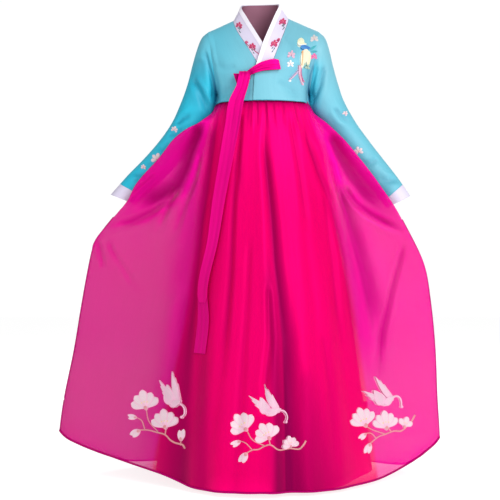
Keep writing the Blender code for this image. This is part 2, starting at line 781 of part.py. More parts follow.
def loop_surface(u, v):
    """u runs from the root along the back to the far end, at 0.5, and along the front to 1."""
    place = 1 - abs(2 * u - 1)
    upper_x, upper_z, lower_x, lower_z, middle_y, half_depth = read_table(LOOP, min(place, 1.0))
    x, z = mix((lower_x, lower_z), (upper_x, upper_z), v)
    nose = math.sqrt(max(1 - (max(place - 0.9, 0) / 0.1) ** 2, 0.0))
    face = 1 if u < 0.5 else -1
    return np.array((x, middle_y + face * half_depth * nose, z))


def build_loop(material):
    us = (0, 0.1, 0.2, 0.3, 0.4, 0.45, 0.48, 0.5, 0.52, 0.55, 0.6, 0.7, 0.8, 0.9, 1)

    def turned(u, v):
        return loop_surface(u, 1 - v)

    normals = normals_of(turned, 0.01, 0.05)
    wall("goreum_loop", turned, us, (0, 0.5, 1), RIBBON_WALL, material, normals)


def build_knot(material):
    middle = np.array(KNOT_MIDDLE)
    tilt = math.radians(KNOT_TILT)
    axis = np.array((math.cos(tilt), 0.0, math.sin(tilt)))
    up = np.array((-math.sin(tilt), 0.0, math.cos(tilt)))

    def surface(turn, v):
        waist = 1 - 0.08 * math.sin(math.pi * v)
        section = KNOT_HALF_HEIGHT * waist * math.cos(turn) * up
        section = section - np.array((0.0, KNOT_HALF_DEPTH * waist * math.sin(turn), 0.0))
        return middle + (v - 0.5) * KNOT_LENGTH * axis + section

    turns = steps_between(0, 2 * math.pi, 16)[:-1]
    normals = normals_of(surface, 0.02, 0.05)
    wall("goreum_knot", surface, turns, (0, 0.5, 1), RIBBON_WALL, material, normals, closed=True)


def build_short_end(material):
    def surface(u, v):
        z = SHORT_END[-1][0] + v * (SHORT_END[0][0] - SHORT_END[-1][0])
        left, right = read_table(SHORT_END, z)
        return np.array((left + u * (right - left), SHORT_END_Y, z))

    normals = normals_of(surface, 0.05, 0.05)
    wall("goreum_short_end", surface, (0, 0.5, 1), (0, 0.5, 1), RIBBON_WALL, material, normals)


def build_ribbon(material):
    build_knot(material)
    build_loop(material)
    build_short_end(material)
    build_tail("goreum_tail_back", TAIL_BACK, TAIL_BACK_TOP_Y, TAIL_REST, material)
    build_tail("goreum_tail_front", TAIL_FRONT, TAIL_FRONT_TOP_Y, 2 * TAIL_REST, material)


# ---- Colours ----
TURQUOISE = (0.10, 0.58, 0.72)
MAGENTA = (0.80, 0.005, 0.17)
ORGANZA_PINK = (0.78, 0.02, 0.32)
LILAC_WHITE = (0.78, 0.75, 0.88)
WHITE = (0.90, 0.88, 0.92)
PLUM = (0.20, 0.08, 0.11)


def main():
    for thing in list(bpy.data.objects):
        bpy.data.objects.remove(thing)
    jacket = finish("turquoise satin", TURQUOISE, 0.45)
    collar = finish("lilac white satin", LILAC_WHITE, 0.55)
    white = finish("white strip", WHITE, 0.6)
    plum = finish("plum lining", PLUM, 0.7)
    magenta = finish("magenta satin", MAGENTA, 0.5)
    ribbon = finish("magenta ribbon", MAGENTA, 0.45)
    organza_finish = finish("magenta organza", ORGANZA_PINK, 0.5, alpha=0.6)
    build_skirts(organza_finish, magenta)
    build_body(jacket)
    build_sleeves(jacket, collar)
    build_collar(collar, white)
    build_lining(plum)
    build_waistband(white)
    build_ribbon(ribbon)


main()
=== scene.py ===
"""The looks of a korean hanbok: a short satin jacket (jeogori) over a sheer organza skirt (chima)
on a satin under-skirt, with a tied ribbon and embroidery.

Metres, in the frame of the CAD model: the front faces -Y and +X is the wearer's left. Every cloth
is a fine thin shell on the surface that its CAD wall follows, so the tables of sections are the
CAD model's own. theta runs round the body from the centre front, v down a skirt. A place on the
front elevation is (X, Z) in the plane of the body, y = 0, as seen from the eye point. Sides are
-1, the wearer's right, and 1, the left.
"""

import math

import bpy
import numpy as np
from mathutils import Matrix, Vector
from mathutils.bvhtree import BVHTree


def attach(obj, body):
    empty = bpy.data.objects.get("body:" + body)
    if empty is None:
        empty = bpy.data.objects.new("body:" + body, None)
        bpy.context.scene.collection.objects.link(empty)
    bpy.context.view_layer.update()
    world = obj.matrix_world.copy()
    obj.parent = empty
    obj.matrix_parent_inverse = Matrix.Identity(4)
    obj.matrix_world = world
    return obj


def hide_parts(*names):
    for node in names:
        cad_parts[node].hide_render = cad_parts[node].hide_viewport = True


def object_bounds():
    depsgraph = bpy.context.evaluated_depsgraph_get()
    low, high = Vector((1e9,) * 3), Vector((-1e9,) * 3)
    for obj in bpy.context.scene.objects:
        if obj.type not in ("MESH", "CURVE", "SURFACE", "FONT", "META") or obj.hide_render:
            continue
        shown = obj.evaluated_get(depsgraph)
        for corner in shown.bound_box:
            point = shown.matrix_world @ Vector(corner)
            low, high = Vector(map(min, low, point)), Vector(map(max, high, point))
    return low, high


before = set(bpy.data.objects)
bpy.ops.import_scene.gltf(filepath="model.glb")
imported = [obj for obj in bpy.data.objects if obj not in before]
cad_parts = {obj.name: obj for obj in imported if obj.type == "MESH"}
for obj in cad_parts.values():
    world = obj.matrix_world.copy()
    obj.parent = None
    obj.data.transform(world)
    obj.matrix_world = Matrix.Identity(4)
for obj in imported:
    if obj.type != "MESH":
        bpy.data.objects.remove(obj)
cad_box = [list(corner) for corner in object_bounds()]


def mm(*numbers):
    """Millimetres as metres, and the other columns of a table from thousandths."""
    return np.array(numbers, float) / 1000


def mm_rows(*rows):
    """Rows of different lengths, each through mm."""
    return tuple(mm(*row) for row in rows)


EYE = np.array((-0.039, -3.4, -0.666))
# The room as the camera sees it, its light on the dress, and how opaque gathered organza gets
SEEN_WHITE = 1.02
ROOM_LIGHT = 0.38
GATHERED_ALPHA = 0.97
# Scale of a wave texture for bands 1 m apart, and of the uneven threads, across and along
WAVE_SCALE = 0.314
SLUB_SCALE = (260.0, 9.0, 1.0)
FLOOR_Z = cad_box[0][2] - 0.0015
FLOOR_HALF = 8.0
LIT_PLACE = (0.0, 0.0, -0.65)
SENSOR_WIDTH = 36.0
FRAME_WIDTH = 1.5
# Material, finish and thickness of each kind of cloth
CLOTHS = {
    "organza": ("organza", "organza", 0.0004), "satin": ("satin", "skirt_satin", 0.0006),
    "jacket": ("jacket", "jacket_satin", 0.0010), "collar": ("white", "collar_satin", 0.0016),
    "cuff": ("white", "collar_satin", 0.0014), "strip": ("strip", "white_strip", 0.0010),
    "lining": ("plum", "neck_lining", 0.0006), "band": ("band", "waistband", 0.0015),
    "ribbon": ("ribbon", "ribbon", 0.0008), "tail": ("ribbon", "ribbon", 0.0007),
}

# ---- Sections, as in the CAD model ----
SKIRT_TOP_Z = -0.199
SKIRT_LENGTH = 1.13
SATIN_HEM_Z = -1.3262
SATIN_SIDE_RISE = 0.012
SIDE_FLATNESS = 0.6
FULLY_DRAWN_OUT = 0.10
WRAP_ANGLE = 8.0
# height, half width, half depth, middle x
SATIN = mm(
    (-1330, 326, 326, 2), (-1236, 312, 310, 4), (-1116, 290, 290, 10), (-966, 265, 262, 14),
    (-790, 238, 228, 16), (-606, 207, 190, 12), (-456, 186, 160, 9), (-397, 175, 147, 7),
    (-327, 160, 131, 4), (-257, 139, 111, 1), (-232, 130, 101, 0), (-199, 120, 96, 0),
)
# height, half width, half depth, middle x, reach of the right and left points, their y, sharpness
ORGANZA = mm(
    (-1340, 338, 337, 2, 610, 529, 0, 8000), (-1206, 320, 321, 4, 609, 528, 0, 8000),
    (-1116, 302, 304, 10, 596, 521, -6, 8500), (-966, 277, 276, 14, 563, 513, -20, 9000),
    (-814, 254, 245, 16, 535, 495, -40, 10000), (-695, 236, 219, 13, 509, 469, -65, 11000),
    (-637, 226, 207, 12, 493, 438, -80, 12000), (-590, 218, 197, 11, 454, 412, -85, 12000),
    (-537, 210, 186, 10, 412, 384, -85, 12000), (-467, 198, 172, 9, 366, 334, -85, 12000),
    (-397, 186, 157, 7, 305, 280, -85, 12000), (-327, 171, 141, 4, 245, 221, -80, 12000),
    (-292, 161, 132, 2, 194, 186, -68, 12000), (-257, 149, 122, 1, 150, 150, -20, 10000),
    (-232, 140, 109, 0, 140, 140, 0, 6000), (-199, 121.9, 100, 0, 121.9, 121.9, 0, 6000),
)
# degrees from the centre front, height at the wearer's right and left
ORGANZA_HEM = (
    (0, -1.325, -1.325), (20, -1.327, -1.327), (30, -1.327, -1.329), (40, -1.322, -1.329),
    (50, -1.303, -1.328), (60, -1.288, -1.321), (70, -1.264, -1.293), (80, -1.235, -1.254),
    (90, -1.21, -1.23), (100, -1.247, -1.27), (105, -1.27, -1.299), (110, -1.294, -1.322),
    (115, -1.316, -1.328), (125, -1.328, -1.328), (190, -1.328, -1.328),
)
# degrees at the top and at the hem, start, deepest (0 top, 1 hem), height, half width in degrees
FOLDS = (
    (-52, -50, 0.1, 0.45, 0.01, 10), (-34, -35, 0.06, 0.6, 0.012, 9),
    (-20, -22, 0.05, 0.9, 0.01, 9), (-6, -8, 0.05, 0.8, 0.009, 9), (8, 5, 0.05, 0.95, 0.011, 9),
    (22, 22, 0.05, 0.7, 0.01, 9), (36, 38, 0.08, 0.6, 0.012, 10), (54, 52, 0.12, 0.45, 0.01, 10),
    (112, 118, 0.1, 0.7, 0.01, 10), (128, 131, 0.05, 0.95, 0.012, 9),
    (143, 146, 0.05, 0.7, 0.01, 9), (157, 160, 0.05, 0.95, 0.011, 9),
    (-112, -118, 0.1, 0.7, 0.01, 10), (-128, -132, 0.05, 0.9, 0.012, 9),
    (-144, -147, 0.05, 0.75, 0.01, 9), (-158, -161, 0.05, 0.95, 0.011, 9),
)
# Sleeve rings by side: outer x, outer z, inner x, inner z, middle y, half depth
SLEEVES = {
    -1: mm(
        (164, -13, 137.5, -200, 0, 62), (184, -32, 137.2, -205, 0, 62),
        (198.5, -68, 136.6, -213, 0, 60), (212, -115, 136.5, -224, 0, 57),
        (226.5, -170, 137, -239, 2, 54), (245.5, -222, 153, -264, 6, 50),
        (273, -282, 199, -330, 12, 47), (311, -337, 246, -392, 15, 45),
        (357, -390, 294, -447, 15, 43), (402, -437, 337, -488, 8, 40),
        (428.5, -468, 357, -508, 0, 38),
    ),
    1: mm(
        (167, -12, 137.5, -200, 0, 62), (186.5, -32, 137.2, -205, 0, 62),
        (198.5, -66, 136.6, -213, 0, 60), (210, -115, 136.5, -224, 0, 57),
        (225.5, -170, 137, -239, 2, 54), (244.5, -222, 153, -266, 6, 50),
        (279, -282, 206, -331, 12, 47), (319, -337, 254, -392, 15, 45),
        (360, -390, 298, -448, 15, 43), (396, -437, 332, -489, 8, 40),
        (418, -469, 356, -523, 0, 38),
    ),
}
CUFF_ENDS = {-1: mm(456, -500, 382, -530, -4, 37), 1: mm(441, -504, 369, -540, -4, 37)}
# place along the collar, inner edge x y z, outer edge x y z
COLLAR = mm(
    (0, 12, -108.5, -86, -4, -112.5, -142), (70, -1.1, -104.5, -64.7, -18.6, -109, -119),
    (190, -24.3, -78, -22.6, -48, -86, -68), (290, -48, -40, 23, -77.7, -42, -14.8),
    (380, -66, 0, 64, -87, 5, 24), (450, -50, 48, 78, -64, 60, 38), (510, -9, 66, 82.6, -6, 84, 42),
    (570, 34, 48, 80, 53, 60, 41), (640, 48, 0, 69, 75, 5, 30),
    (730, 32.3, -42, 26, 65, -44, -11.7), (820, 15.4, -84, -19.6, 49, -89, -57.8),
    (920, -1.2, -113, -64.7, 30.9, -115, -107), (1000, -21.6, -119.5, -129.8, 22, -117.5, -132),
)
NECK_PLACE = {-1: 0.38, 1: 0.64}
COLLAR_BACK = 0.51
NECK_SEAM = 0.0010

JACKET_HEM_Z = -0.232
JACKET_HEM_HALF_WIDTH = 0.1435
JACKET_BACK_DEPTH = 0.1160
# By side: how deep the front's hem is, and the angle at which its arc ends
FRONT_HEM = {-1: (0.1150, 105.3), 1: (0.1200, 102.1)}
SIDE_SEAM_SHARE = 0.16
ARMHOLE_HALF_DEPTH = 0.062

WAISTBAND_HALF_WIDTH = 0.1180
WAISTBAND_HALF_DEPTH = 0.0940
WAISTBAND_TOP_Z = -0.130
WAISTBAND_BOTTOM_Z = -0.203

# Ribbon tails: height, middle x, width
TAIL_FRONT = mm(
    (-150, -53.5, 33), (-168, -56, 34.5), (-187, -60, 34.5), (-232.5, -78, 43), (-300, -89.5, 43),
    (-410, -109.3, 40), (-523, -129, 36.5), (-637.5, -145.8, 31.5), (-779, -174.8, 28.5),
    (-800, -175.5, 27), (-815, -175, 18),
)
TAIL_BACK = mm(
    (-200, -64, 30), (-232.5, -78, 38), (-300, -89.5, 39), (-410, -109.3, 36), (-523, -129, 33),
    (-637.5, -145.8, 29), (-779, -174.8, 27), (-863, -172, 33), (-958, -182, 34),
)
TAIL_FRONT_TOP_Y = -0.1299
TAIL_BACK_TOP_Y = -0.1262
TAIL_HANGS_DOWN_TO = -0.190
TAIL_LIES_BELOW_Z = -0.300
TAIL_REST = 0.0040
# place, upper edge x z, lower edge x z, middle y, half depth
LOOP = mm(
    (0, -54.5, -157.5, -47, -168, -122.5, 2.8), (150, -45.5, -147.5, -36, -160, -123.5, 2.9),
    (400, -15, -127.5, -10, -150, -127, 5), (750, 27, -115, 29, -145, -127.5, 5.5),
    (1000, 44.7, -116.6, 50.4, -143.8, -126, 3),
)
KNOT_MIDDLE = (-0.0545, -0.1225, -0.1650)
KNOT_TILT = 35.0
KNOT_LENGTH = 0.022
KNOT_HALF_HEIGHT = 0.0150
KNOT_HALF_DEPTH = 0.0055
# height, left x, right x
SHORT_END = mm(
    (-154.5, -87.5, -52), (-170, -82.5, -56), (-187, -76.5, -62),
)
SHORT_END_Y = -0.1165
# Folds along the ribbon: place across it at the start and end, half width, depth, shade, length
FRONT_TAIL_FOLDS = (
    (0.30, 0.22, 0.16, 0.0005, 0.05, 0.75), (0.66, 0.74, 0.14, 0.0005, 0.22, 0.90),
    (0.46, 0.52, 0.08, 0.0012, 0.30, 0.14), (0.85, 0.90, 0.08, 0.0010, 0.35, 0.22),
)
BACK_TAIL_FOLDS = ((0.35, 0.30, 0.12, 0.0008, 0.15, 1.0), (0.72, 0.66, 0.10, 0.0007, 0.12, 1.0))
BACK_TAIL_SHADE = 0.22
LOOP_FOLDS = (
    (0.30, 0.16, 0.07, 0.0012, 0.55, 0.55), (0.62, 0.60, 0.06, 0.0012, 0.50, 0.40),
    (0.50, 0.40, 0.05, 0.0008, 0.35, 0.75),
)
KNOT_FOLDS = ((0.30, 0.30, 0.05, 0.0010, 0.45, 1.0), (0.62, 0.62, 0.05, 0.0010, 0.5, 1.0))
SHORT_END_FOLDS = ((0.45, 0.45, 0.10, 0.0007, 0.7, 1.0),)

# ---- Creases: depth, half width at the start and end, shade at the start and end, and then the X
# and Z of the points of a path on the elevation ----
CREASES_FRONT = mm_rows(
    # wearer's right, from the armpit to the drawn-out side
    (13, 18, 36, 1000, 750, -175, -270, -192, -325, -212, -370, -230, -425, -252, -470, -294, -500,
     -345, -526, -400, -560),
    (6, 7, 11, 650, 500, -250, -478, -285, -515, -339, -552, -399, -582, -459, -596),
    (3, 20, 34, 350, 450, -215, -330, -270, -420, -330, -475, -400, -530),
    (2, 24, 40, 350, 450, -190, -420, -205, -560, -222, -700, -240, -860),
    (6, 7, 10, 300, 450, -252, -471, -285, -531, -312, -600),
    (6, 7, 12, 300, 350, -186, -370, -204, -450, -240, -540, -272, -630),
    (5, 6, 9, 300, 250, -318, -440, -366, -480, -420, -530),
    (4, 6, 8, 280, 220, -498, -636, -487, -681, -477, -722),
    (4, 6, 9, 280, 160, -467, -636, -446, -681, -416, -726, -384, -775),
    # beside the ribbon, widening to the hem
    (10, 11, 28, 750, 550, -135, -240, -150, -336, -168, -456, -189, -576, -201, -696, -219, -816,
     -240, -936, -250, -1060),
    (7, 26, 90, 600, 1000, -205, -700, -222, -860, -230, -1000, -243, -1180, -250, -1390, -258,
     -1800),
    (3, 20, 70, 250, 800, -176, -900, -182, -1150, -186, -1390, -192, -1800),
    # between the ribbon and the middle
    (6, 7, 12, 450, 350, -72, -300, -84, -426, -93, -576, -99, -726, -114, -906, -123, -1040),
    (4, 7, 9, 350, 200, -66, -250, -70, -360, -74, -500),
    (3, 8, 14, 120, 250, -40, -600, -52, -850, -70, -1100, -80, -1380),
    # short gathers below the jacket
    (1.8, 4, 6, 700, 200, -17, -212, -15, -250, -16, -300),
    (2, 5, 8, 600, 200, 7, -212, 9, -260, 10, -320),
    (1.5, 4, 6, 500, 150, 30, -214, 32, -250, 34, -290),
    (1.8, 4, 6, 550, 150, 60, -216, 64, -256, 69, -300),
    (1.5, 4, 6, 400, 150, 92, -218, 101, -260, 112, -300),
    (1.8, 5, 7, 500, 150, -40, -210, -43, -256, -47, -310),
    # the middle
    (10, 7, 40, 720, 1200, 3, -240, 6, -366, 15, -456, 27, -576, 36, -696, 51, -816, 66, -936, 72,
     -1056, 76, -1206, 80, -1400, 88, -1800),
    (4, 20, 85, 600, 1200, 66, -950, 85, -1200, 100, -1400, 110, -1800),
    (1, 16, 55, 450, 1200, 6, -640, 18, -816, 33, -996, 43, -1176, 48, -1400, 52, -1800),
    (6, 7, 12, 400, 400, 15, -760, 21, -936, 9, -1056, 6, -1150),
    (5, 20, 130, 300, 1100, 100, -980, 130, -1200, 150, -1400, 165, -1800),
    (3, 10, 16, 150, 300, 180, -900, 205, -1120, 225, -1380),
    # wearer's left
    (6, 8, 16, 500, 350, 120, -270, 135, -336, 165, -426, 201, -516, 225, -606, 246, -696, 261,
     -816, 285, -1000),
    (4, 7, 10, 300, 200, 81, -260, 111, -426, 135, -600),
    (4, 8, 12, 150, 300, 180, -480, 210, -700, 230, -930),
    (9, 14, 26, 500, 450, 225, -450, 250, -555, 279, -651, 306, -745, 327, -840, 345, -930),
    (6, 6, 10, 300, 550, 426, -636, 402, -726, 387, -786, 375, -846, 363, -906, 357, -966, 351,
     -1040),
    (8, 7, 10, 350, 600, 240, -470, 276, -525, 321, -561, 366, -585, 411, -605),
    (10, 18, 36, 600, 550, 190, -310, 225, -385, 258, -445, 300, -500, 360, -548),
    (4, 6, 8, 250, 200, 205, -390, 222, -470, 252, -560),
)
# Where the organza bunches into a full ridge: half width, strength, path
BUNCHED = mm_rows(
    (11, 850, -160, -250, -178, -330, -200, -400, -222, -460, -246, -515, -262, -570),
    (14, 800, 186, -290, 206, -380, 228, -460, 240, -520),
    (12, 500, 250, -480, 300, -540, 360, -572, 420, -590),
    (10, 450, -235, -500, -290, -540, -350, -575, -430, -600),
    (32, 420, 262, -560, 285, -680, 300, -816, 312, -966, 318, -1100),
)
# Creases of the jacket and sleeves
CREASES_JACKET = mm_rows(
    (6, 8, 11, 700, 800, -176, -60, -156, -120, -143, -177, -145, -250),
    (6, 8, 11, 700, 800, -216, -150, -185, -205, -158, -255),
    (3, 26, 34, 550, 750, -175, -85, -188, -160, -175, -250),
    (4, 7, 10, 950, 800, -262, -288, -240, -270, -215, -262),
    (4, 7, 9, 900, 800, -285, -318, -262, -318, -240, -300),
    (4, 7, 10, 800, 600, -330, -352, -300, -362, -272, -345),
    (4, 7, 10, 850, 800, -405, -428, -375, -440, -335, -452),
    (3, 6, 9, 600, 750, -388, -450, -362, -462, -338, -474),
    (3, 6, 8, 300, 400, -365, -392, -338, -408, -300, -414),
    (6, 8, 12, 650, 800, 150, -75, 141, -125, 139, -175, 140, -250),
    (3, 12, 18, 200, 400, 158, -110, 155, -170, 150, -240),
    (5, 7, 9, 600, 600, 186, -110, 172, -170, 146, -225),
    (3, 7, 9, 500, 450, 212, -240, 236, -270, 262, -282),
    (3, 7, 9, 500, 450, 345, -392, 320, -408, 296, -412),
    (3, 8, 12, 550, 450, 410, -452, 375, -458, 345, -452),
)
# Painted shade: the dark line in each armhole seam, in the same columns
ARMHOLE_LINES = mm_rows(
    (0, 4.5, 4.5, 200, 1600, -170, -75, -160, -110, -150, -140, -147, -156, -142, -186, -141, -201,
     -142, -216, -144, -227, -150, -260),
    (0, 4.5, 4, 600, 1300, 152, -100, 145.5, -126, 141, -141, 136.5, -171, 136, -186, 137.5, -207,
     140, -250),
)
# On the jacket's front only: from the knot, beside the front edge, and across the chest
CREASES_CHEST = mm_rows(
    (2.5, 8, 11, 250, 200, -60, -140, -95, -165, -125, -215),
    (2, 8, 12, 200, 200, -80, -115, -115, -120, -150, -105),
    (0.8, 6, 8, 550, 650, -37, -135, -40, -180, -44, -240),
    (2, 8, 12, 200, 200, 40, -160, 80, -180, 115, -215),
    (2, 10, 12, 180, 180, 60, -20, 85, -50, 95, -85),
)
# Height, half width in degrees and number of the small gathers under the waistband, and their seed
GATHERS = ((0.0022, 1.3, 74, 11), (0.0014, 0.9, 60, 12))
GATHERS_END = 0.16
HEM_DENSE = 0.060
ORGANZA_ROWS = 140
SATIN_ROWS = 84
TAIL_ROWS = 130
HEM_ROLL = 0.0030
SIDE_ROLL = 0.0020
SIDE_ROLL_START = 0.367
# Passes that even out the side rolls and the jacket's back
PATH_SMOOTHING = 30
PANEL_SMOOTHING = 60
JACKET_CREASE_SHADE = 0.5
JACKET_EDGE = 0.0009

# ---- Embroidery: places are X, Z on the front elevation ----
STITCH_REST = 0.0003
STITCH_PILE = 0.00012
STITCH_PITCH = 0.0009
BEHIND = np.array((0.039, 3.4, -0.666))
# Branches near the hem: blossoms (base X Z, direction, radius, spread, petals), buds (base X Z,
# direction, length, width), twigs (widths, path), a bird (two wing tips, breast, shoulder, neck)
HEM_MOTIFS = {
    "middle": (
        ((-0.049, -1.206, 128, 0.06, 112, 5), (0.02, -1.232, 122, 0.054, 122, 5),
         (0.083, -1.256, 104, 0.034, 150, 5)),
        ((-0.066, -1.239, 206, 0.034, 0.02), (-0.048, -1.274, 238, 0.037, 0.028)),
        (
            (0.0036, 0.0052, -0.048, -1.275, -0.032, -1.266, -0.014, -1.264, 0.006, -1.254, 0.024,
             -1.251, 0.048, -1.266, 0.08, -1.261, 0.108, -1.263, 0.122, -1.25, 0.129, -1.238),
            (0.003, 0.0034, -0.049, -1.206, -0.031, -1.236, 0.006, -1.254),
            (0.0026, 0.0032, -0.068, -1.239, -0.051, -1.246, -0.032, -1.266),
            (0.0034, 0.0034, 0.017, -1.23, 0.022, -1.251),
        ),
        (-0.042, -1.103, 0.003, -1.068, 0.016, -1.158, 0.04, -1.146, 0.04, -1.146, 0.058, -1.15,
         0.069, -1.166, 0.065, -1.182),
    ),
    "right": (
        ((-0.35, -1.142, 102, 0.058, 118, 5), (-0.291, -1.2, 96, 0.058, 112, 5)),
        ((-0.377, -1.169, 174, 0.03, 0.018), (-0.368, -1.206, 214, 0.034, 0.027),
         (-0.246, -1.24, 86, 0.038, 0.024)),
        (
            (0.0036, 0.0056, -0.37, -1.206, -0.345, -1.206, -0.318, -1.213, -0.294, -1.22, -0.278,
             -1.236, -0.262, -1.245, -0.242, -1.25, -0.234, -1.262),
            (0.0026, 0.0034, -0.378, -1.169, -0.363, -1.179, -0.354, -1.206),
            (0.0026, 0.003, -0.35, -1.144, -0.342, -1.18, -0.315, -1.211),
            (0.0034, 0.0034, -0.291, -1.204, -0.294, -1.222),
            (0.003, 0.0034, -0.246, -1.24, -0.247, -1.252),
        ),
        (-0.309, -1.056, -0.27, -1.03, -0.271, -1.131, -0.251, -1.122, -0.251, -1.123, -0.234,
         -1.138, -0.232, -1.158, -0.241, -1.168),
    ),
    "left": (
        ((0.307, -1.194, 112, 0.06, 100, 5), (0.368, -1.202, 98, 0.056, 108, 5),
         (0.421, -1.196, 72, 0.034, 90, 3)),
        ((0.309, -1.216, 222, 0.028, 0.018), (0.321, -1.245, 250, 0.036, 0.024)),
        (
            (0.0036, 0.005, 0.322, -1.246, 0.345, -1.227, 0.369, -1.218, 0.393, -1.209, 0.414,
             -1.209, 0.432, -1.194, 0.444, -1.182, 0.456, -1.161),
            (0.0026, 0.0032, 0.308, -1.216, 0.324, -1.216, 0.339, -1.23),
            (0.0028, 0.003, 0.304, -1.19, 0.325, -1.204, 0.366, -1.218),
            (0.0034, 0.0034, 0.376, -1.2, 0.385, -1.212),
        ),
        (0.294, -1.089, 0.331, -1.045, 0.36, -1.128, 0.381, -1.11, 0.381, -1.11, 0.398, -1.104,
         0.409, -1.114, 0.412, -1.136),
    ),
}
# Small blossoms on the collar, X, Z, radius, direction, and the dots under them
COLLAR_BLOSSOMS = (
    (-0.072, 0.009, 0.0125, 75), (-0.0315, -0.0545, 0.0125, 80), (-0.048, -0.0435, 0.0058, 140),
    (0.057, 0.018, 0.0125, 85), (0.0315, -0.048, 0.0125, 85), (0.0432, -0.0381, 0.0055, 40),
)
COLLAR_DOTS = (
    (-0.0675, -0.003), (-0.071, -0.0045), (-0.0675, -0.0138), (-0.0315, -0.068), (-0.024, -0.066),
    (-0.027, -0.076), (0.057, 0.006), (0.06, 0.0045), (0.0588, -0.0045), (0.027, -0.0615),
    (0.032, -0.064), (0.027, -0.072),
)
# Blossoms on the sleeves: side, X, Z, radius, direction
SLEEVE_BLOSSOMS = (
    (-1, -0.266, -0.306, 0.012, 70), (-1, -0.318, -0.396, 0.021, 75),
    (-1, -0.358, -0.42, 0.009, 80), (1, 0.287, -0.372, 0.017, 105), (1, 0.245, -0.258, 0.009, 60),
)
# Name and shift sideways of the same branch on the back
BACK_MOTIFS = (("right", -0.21), ("middle", 0.02), ("left", 0.25))

WHITE_THREAD = (0.77, 0.57, 0.64)
SILK_THREAD = (0.71, 0.46, 0.57)
PINK_THREAD = (0.86, 0.40, 0.60)
DEEP_PINK_THREAD = (0.62, 0.10, 0.28)
CRIMSON_THREAD = (0.56, 0.01, 0.11)
GOLD_THREAD = (0.66, 0.26, 0.27)
STAMEN_THREAD = (0.80, 0.58, 0.22)
ORANGE_THREAD = (0.75, 0.36, 0.13)
BLUE_THREAD = (0.02, 0.17, 0.50)
TEAL_THREAD = (0.03, 0.36, 0.42)
DARK_THREAD = (0.09, 0.16, 0.17)


# ---- Curves and surfaces, on arrays ----
def mix(a, b, t):
    return (1 - t) * np.array(a, float) + t * np.array(b, float)


def ease(t):
    """0 before 0, 1 after 1, and a smooth step between."""
    t = np.clip(t, 0.0, 1.0)
    return t * t * (3 - 2 * t)


def bell(t):
    """1 at 0, and half as much or less from 0.83 on either side."""
    return np.exp(-(t**2))


def smooth_table(rows, keys):
    """The columns after the first at these values of the first: a smooth curve through the rows."""
    table = np.array(sorted(map(tuple, rows)), float)
    knots, values = table[:, 0], table[:, 1:]
    keys = np.clip(np.asarray(keys, float), knots[0], knots[-1])
    slopes = np.gradient(values, knots, axis=0)
    at = np.clip(np.searchsorted(knots, keys, side="right") - 1, 0, len(knots) - 2)
    width = (knots[at + 1] - knots[at])[..., None]
    t = (keys - knots[at])[..., None] / width
    bend = width * t * (1 - t) * ((1 - t) * slopes[at] - t * slopes[at + 1])
    return mix(values[at], values[at + 1], ease(t)) + bend


def running(steps):
    """The sum of the steps before each place, from 0."""
    return np.concatenate(((0,), np.cumsum(steps)))


def unit(vectors):
    return vectors / np.maximum(np.linalg.norm(vectors, axis=-1, keepdims=True), 1e-12)


def smoothed(points, passes):
    """A path, or a grid's columns, with small steps evened out and its ends kept."""
    points = points.copy()
    for _ in range(passes):
        points[1:-1] = (points[:-2] + 2 * points[1:-1] + points[2:]) / 4
    return points


def quads(columns, rows, closed=False):
    """The columns and the rows of the corners of a grid's faces."""
    i, k = np.meshgrid(np.arange(columns - (not closed)), np.arange(rows - 1), indexing="ij")
    return i.reshape(-1, 1) + (0, 1, 1, 0), k.reshape(-1, 1) + (0, 0, 1, 1)


def grid_normals(points, closed=False):
    """Normals of a grid of points, (columns, rows, 3), by the cross of its two directions."""
    if closed:
        along = np.roll(points, -1, axis=0) - np.roll(points, 1, axis=0)
    else:
        along = np.gradient(points, axis=0)
    return unit(np.cross(along, np.gradient(points, axis=1)))


def on_elevation(points):
    """Where the eye point sees the front, on the plane of the body; at the back, X and Z."""
    ahead, eye = points[..., 1], EYE[[0, 2]]
    nearer = np.where(ahead < 0, EYE[1] / (EYE[1] - ahead), 1.0)
    return eye + (points[..., [0, 2]] - eye) * nearer[..., None]


def path_distance(places, path):
    """Distance of each place from a path, how far along the path, 0 to 1, its nearest point is, and
    1 on the path's side that faces the middle of the dress, -1 on the other."""
    path = np.reshape(path, (-1, 2))
    lengths = np.linalg.norm(np.diff(path, axis=0), axis=1)
    nearest, along, inward = (np.full(places.shape[:-1], start) for start in (1e9, 0.0, 1.0))
    for start, end, length, before in zip(path[:-1], path[1:], lengths, running(lengths)):
        step = (end - start) / length
        offset = places - start
        t = np.clip(offset @ step, 0, length)
        away = np.linalg.norm(places - (start + t[..., None] * step), axis=-1)
        closer = away < nearest
        nearest = np.where(closer, away, nearest)
        along = np.where(closer, (before + t) / lengths.sum(), along)
        turn = step[0] * offset[..., 1] - step[1] * offset[..., 0]
        inward = np.where(closer, np.where(turn * path[0][0] < 0, 1.0, -1.0), inward)
    return nearest, along, inward


def creases(places, table):
    """Height and shade of troughs with a low ridge on either side. The shade ends sharply towards
    the middle of the dress and fades out on the other side."""
    height, shade = np.zeros((2, *places.shape[:-1]))
    for depth, start_width, end_width, start_shade, end_shade, *path in table:
        away, along, inward = path_distance(places, path)
        half_width = mix(start_width, end_width, along)
        strength = ease(along / 0.12) * (0.25 + 0.75 * ease((1 - along) / 0.25))
        ridges = (0.30 + 0.12 * inward) * bell(away / half_width - 2.0)
        height += depth * strength * (ridges - bell(away / half_width))
        darkness = mix(start_shade, end_shade, along) * strength
        reach = half_width * (0.95 - 0.45 * inward)
        shade = np.maximum(shade, darkness * bell(away / reach))
    return height, shade


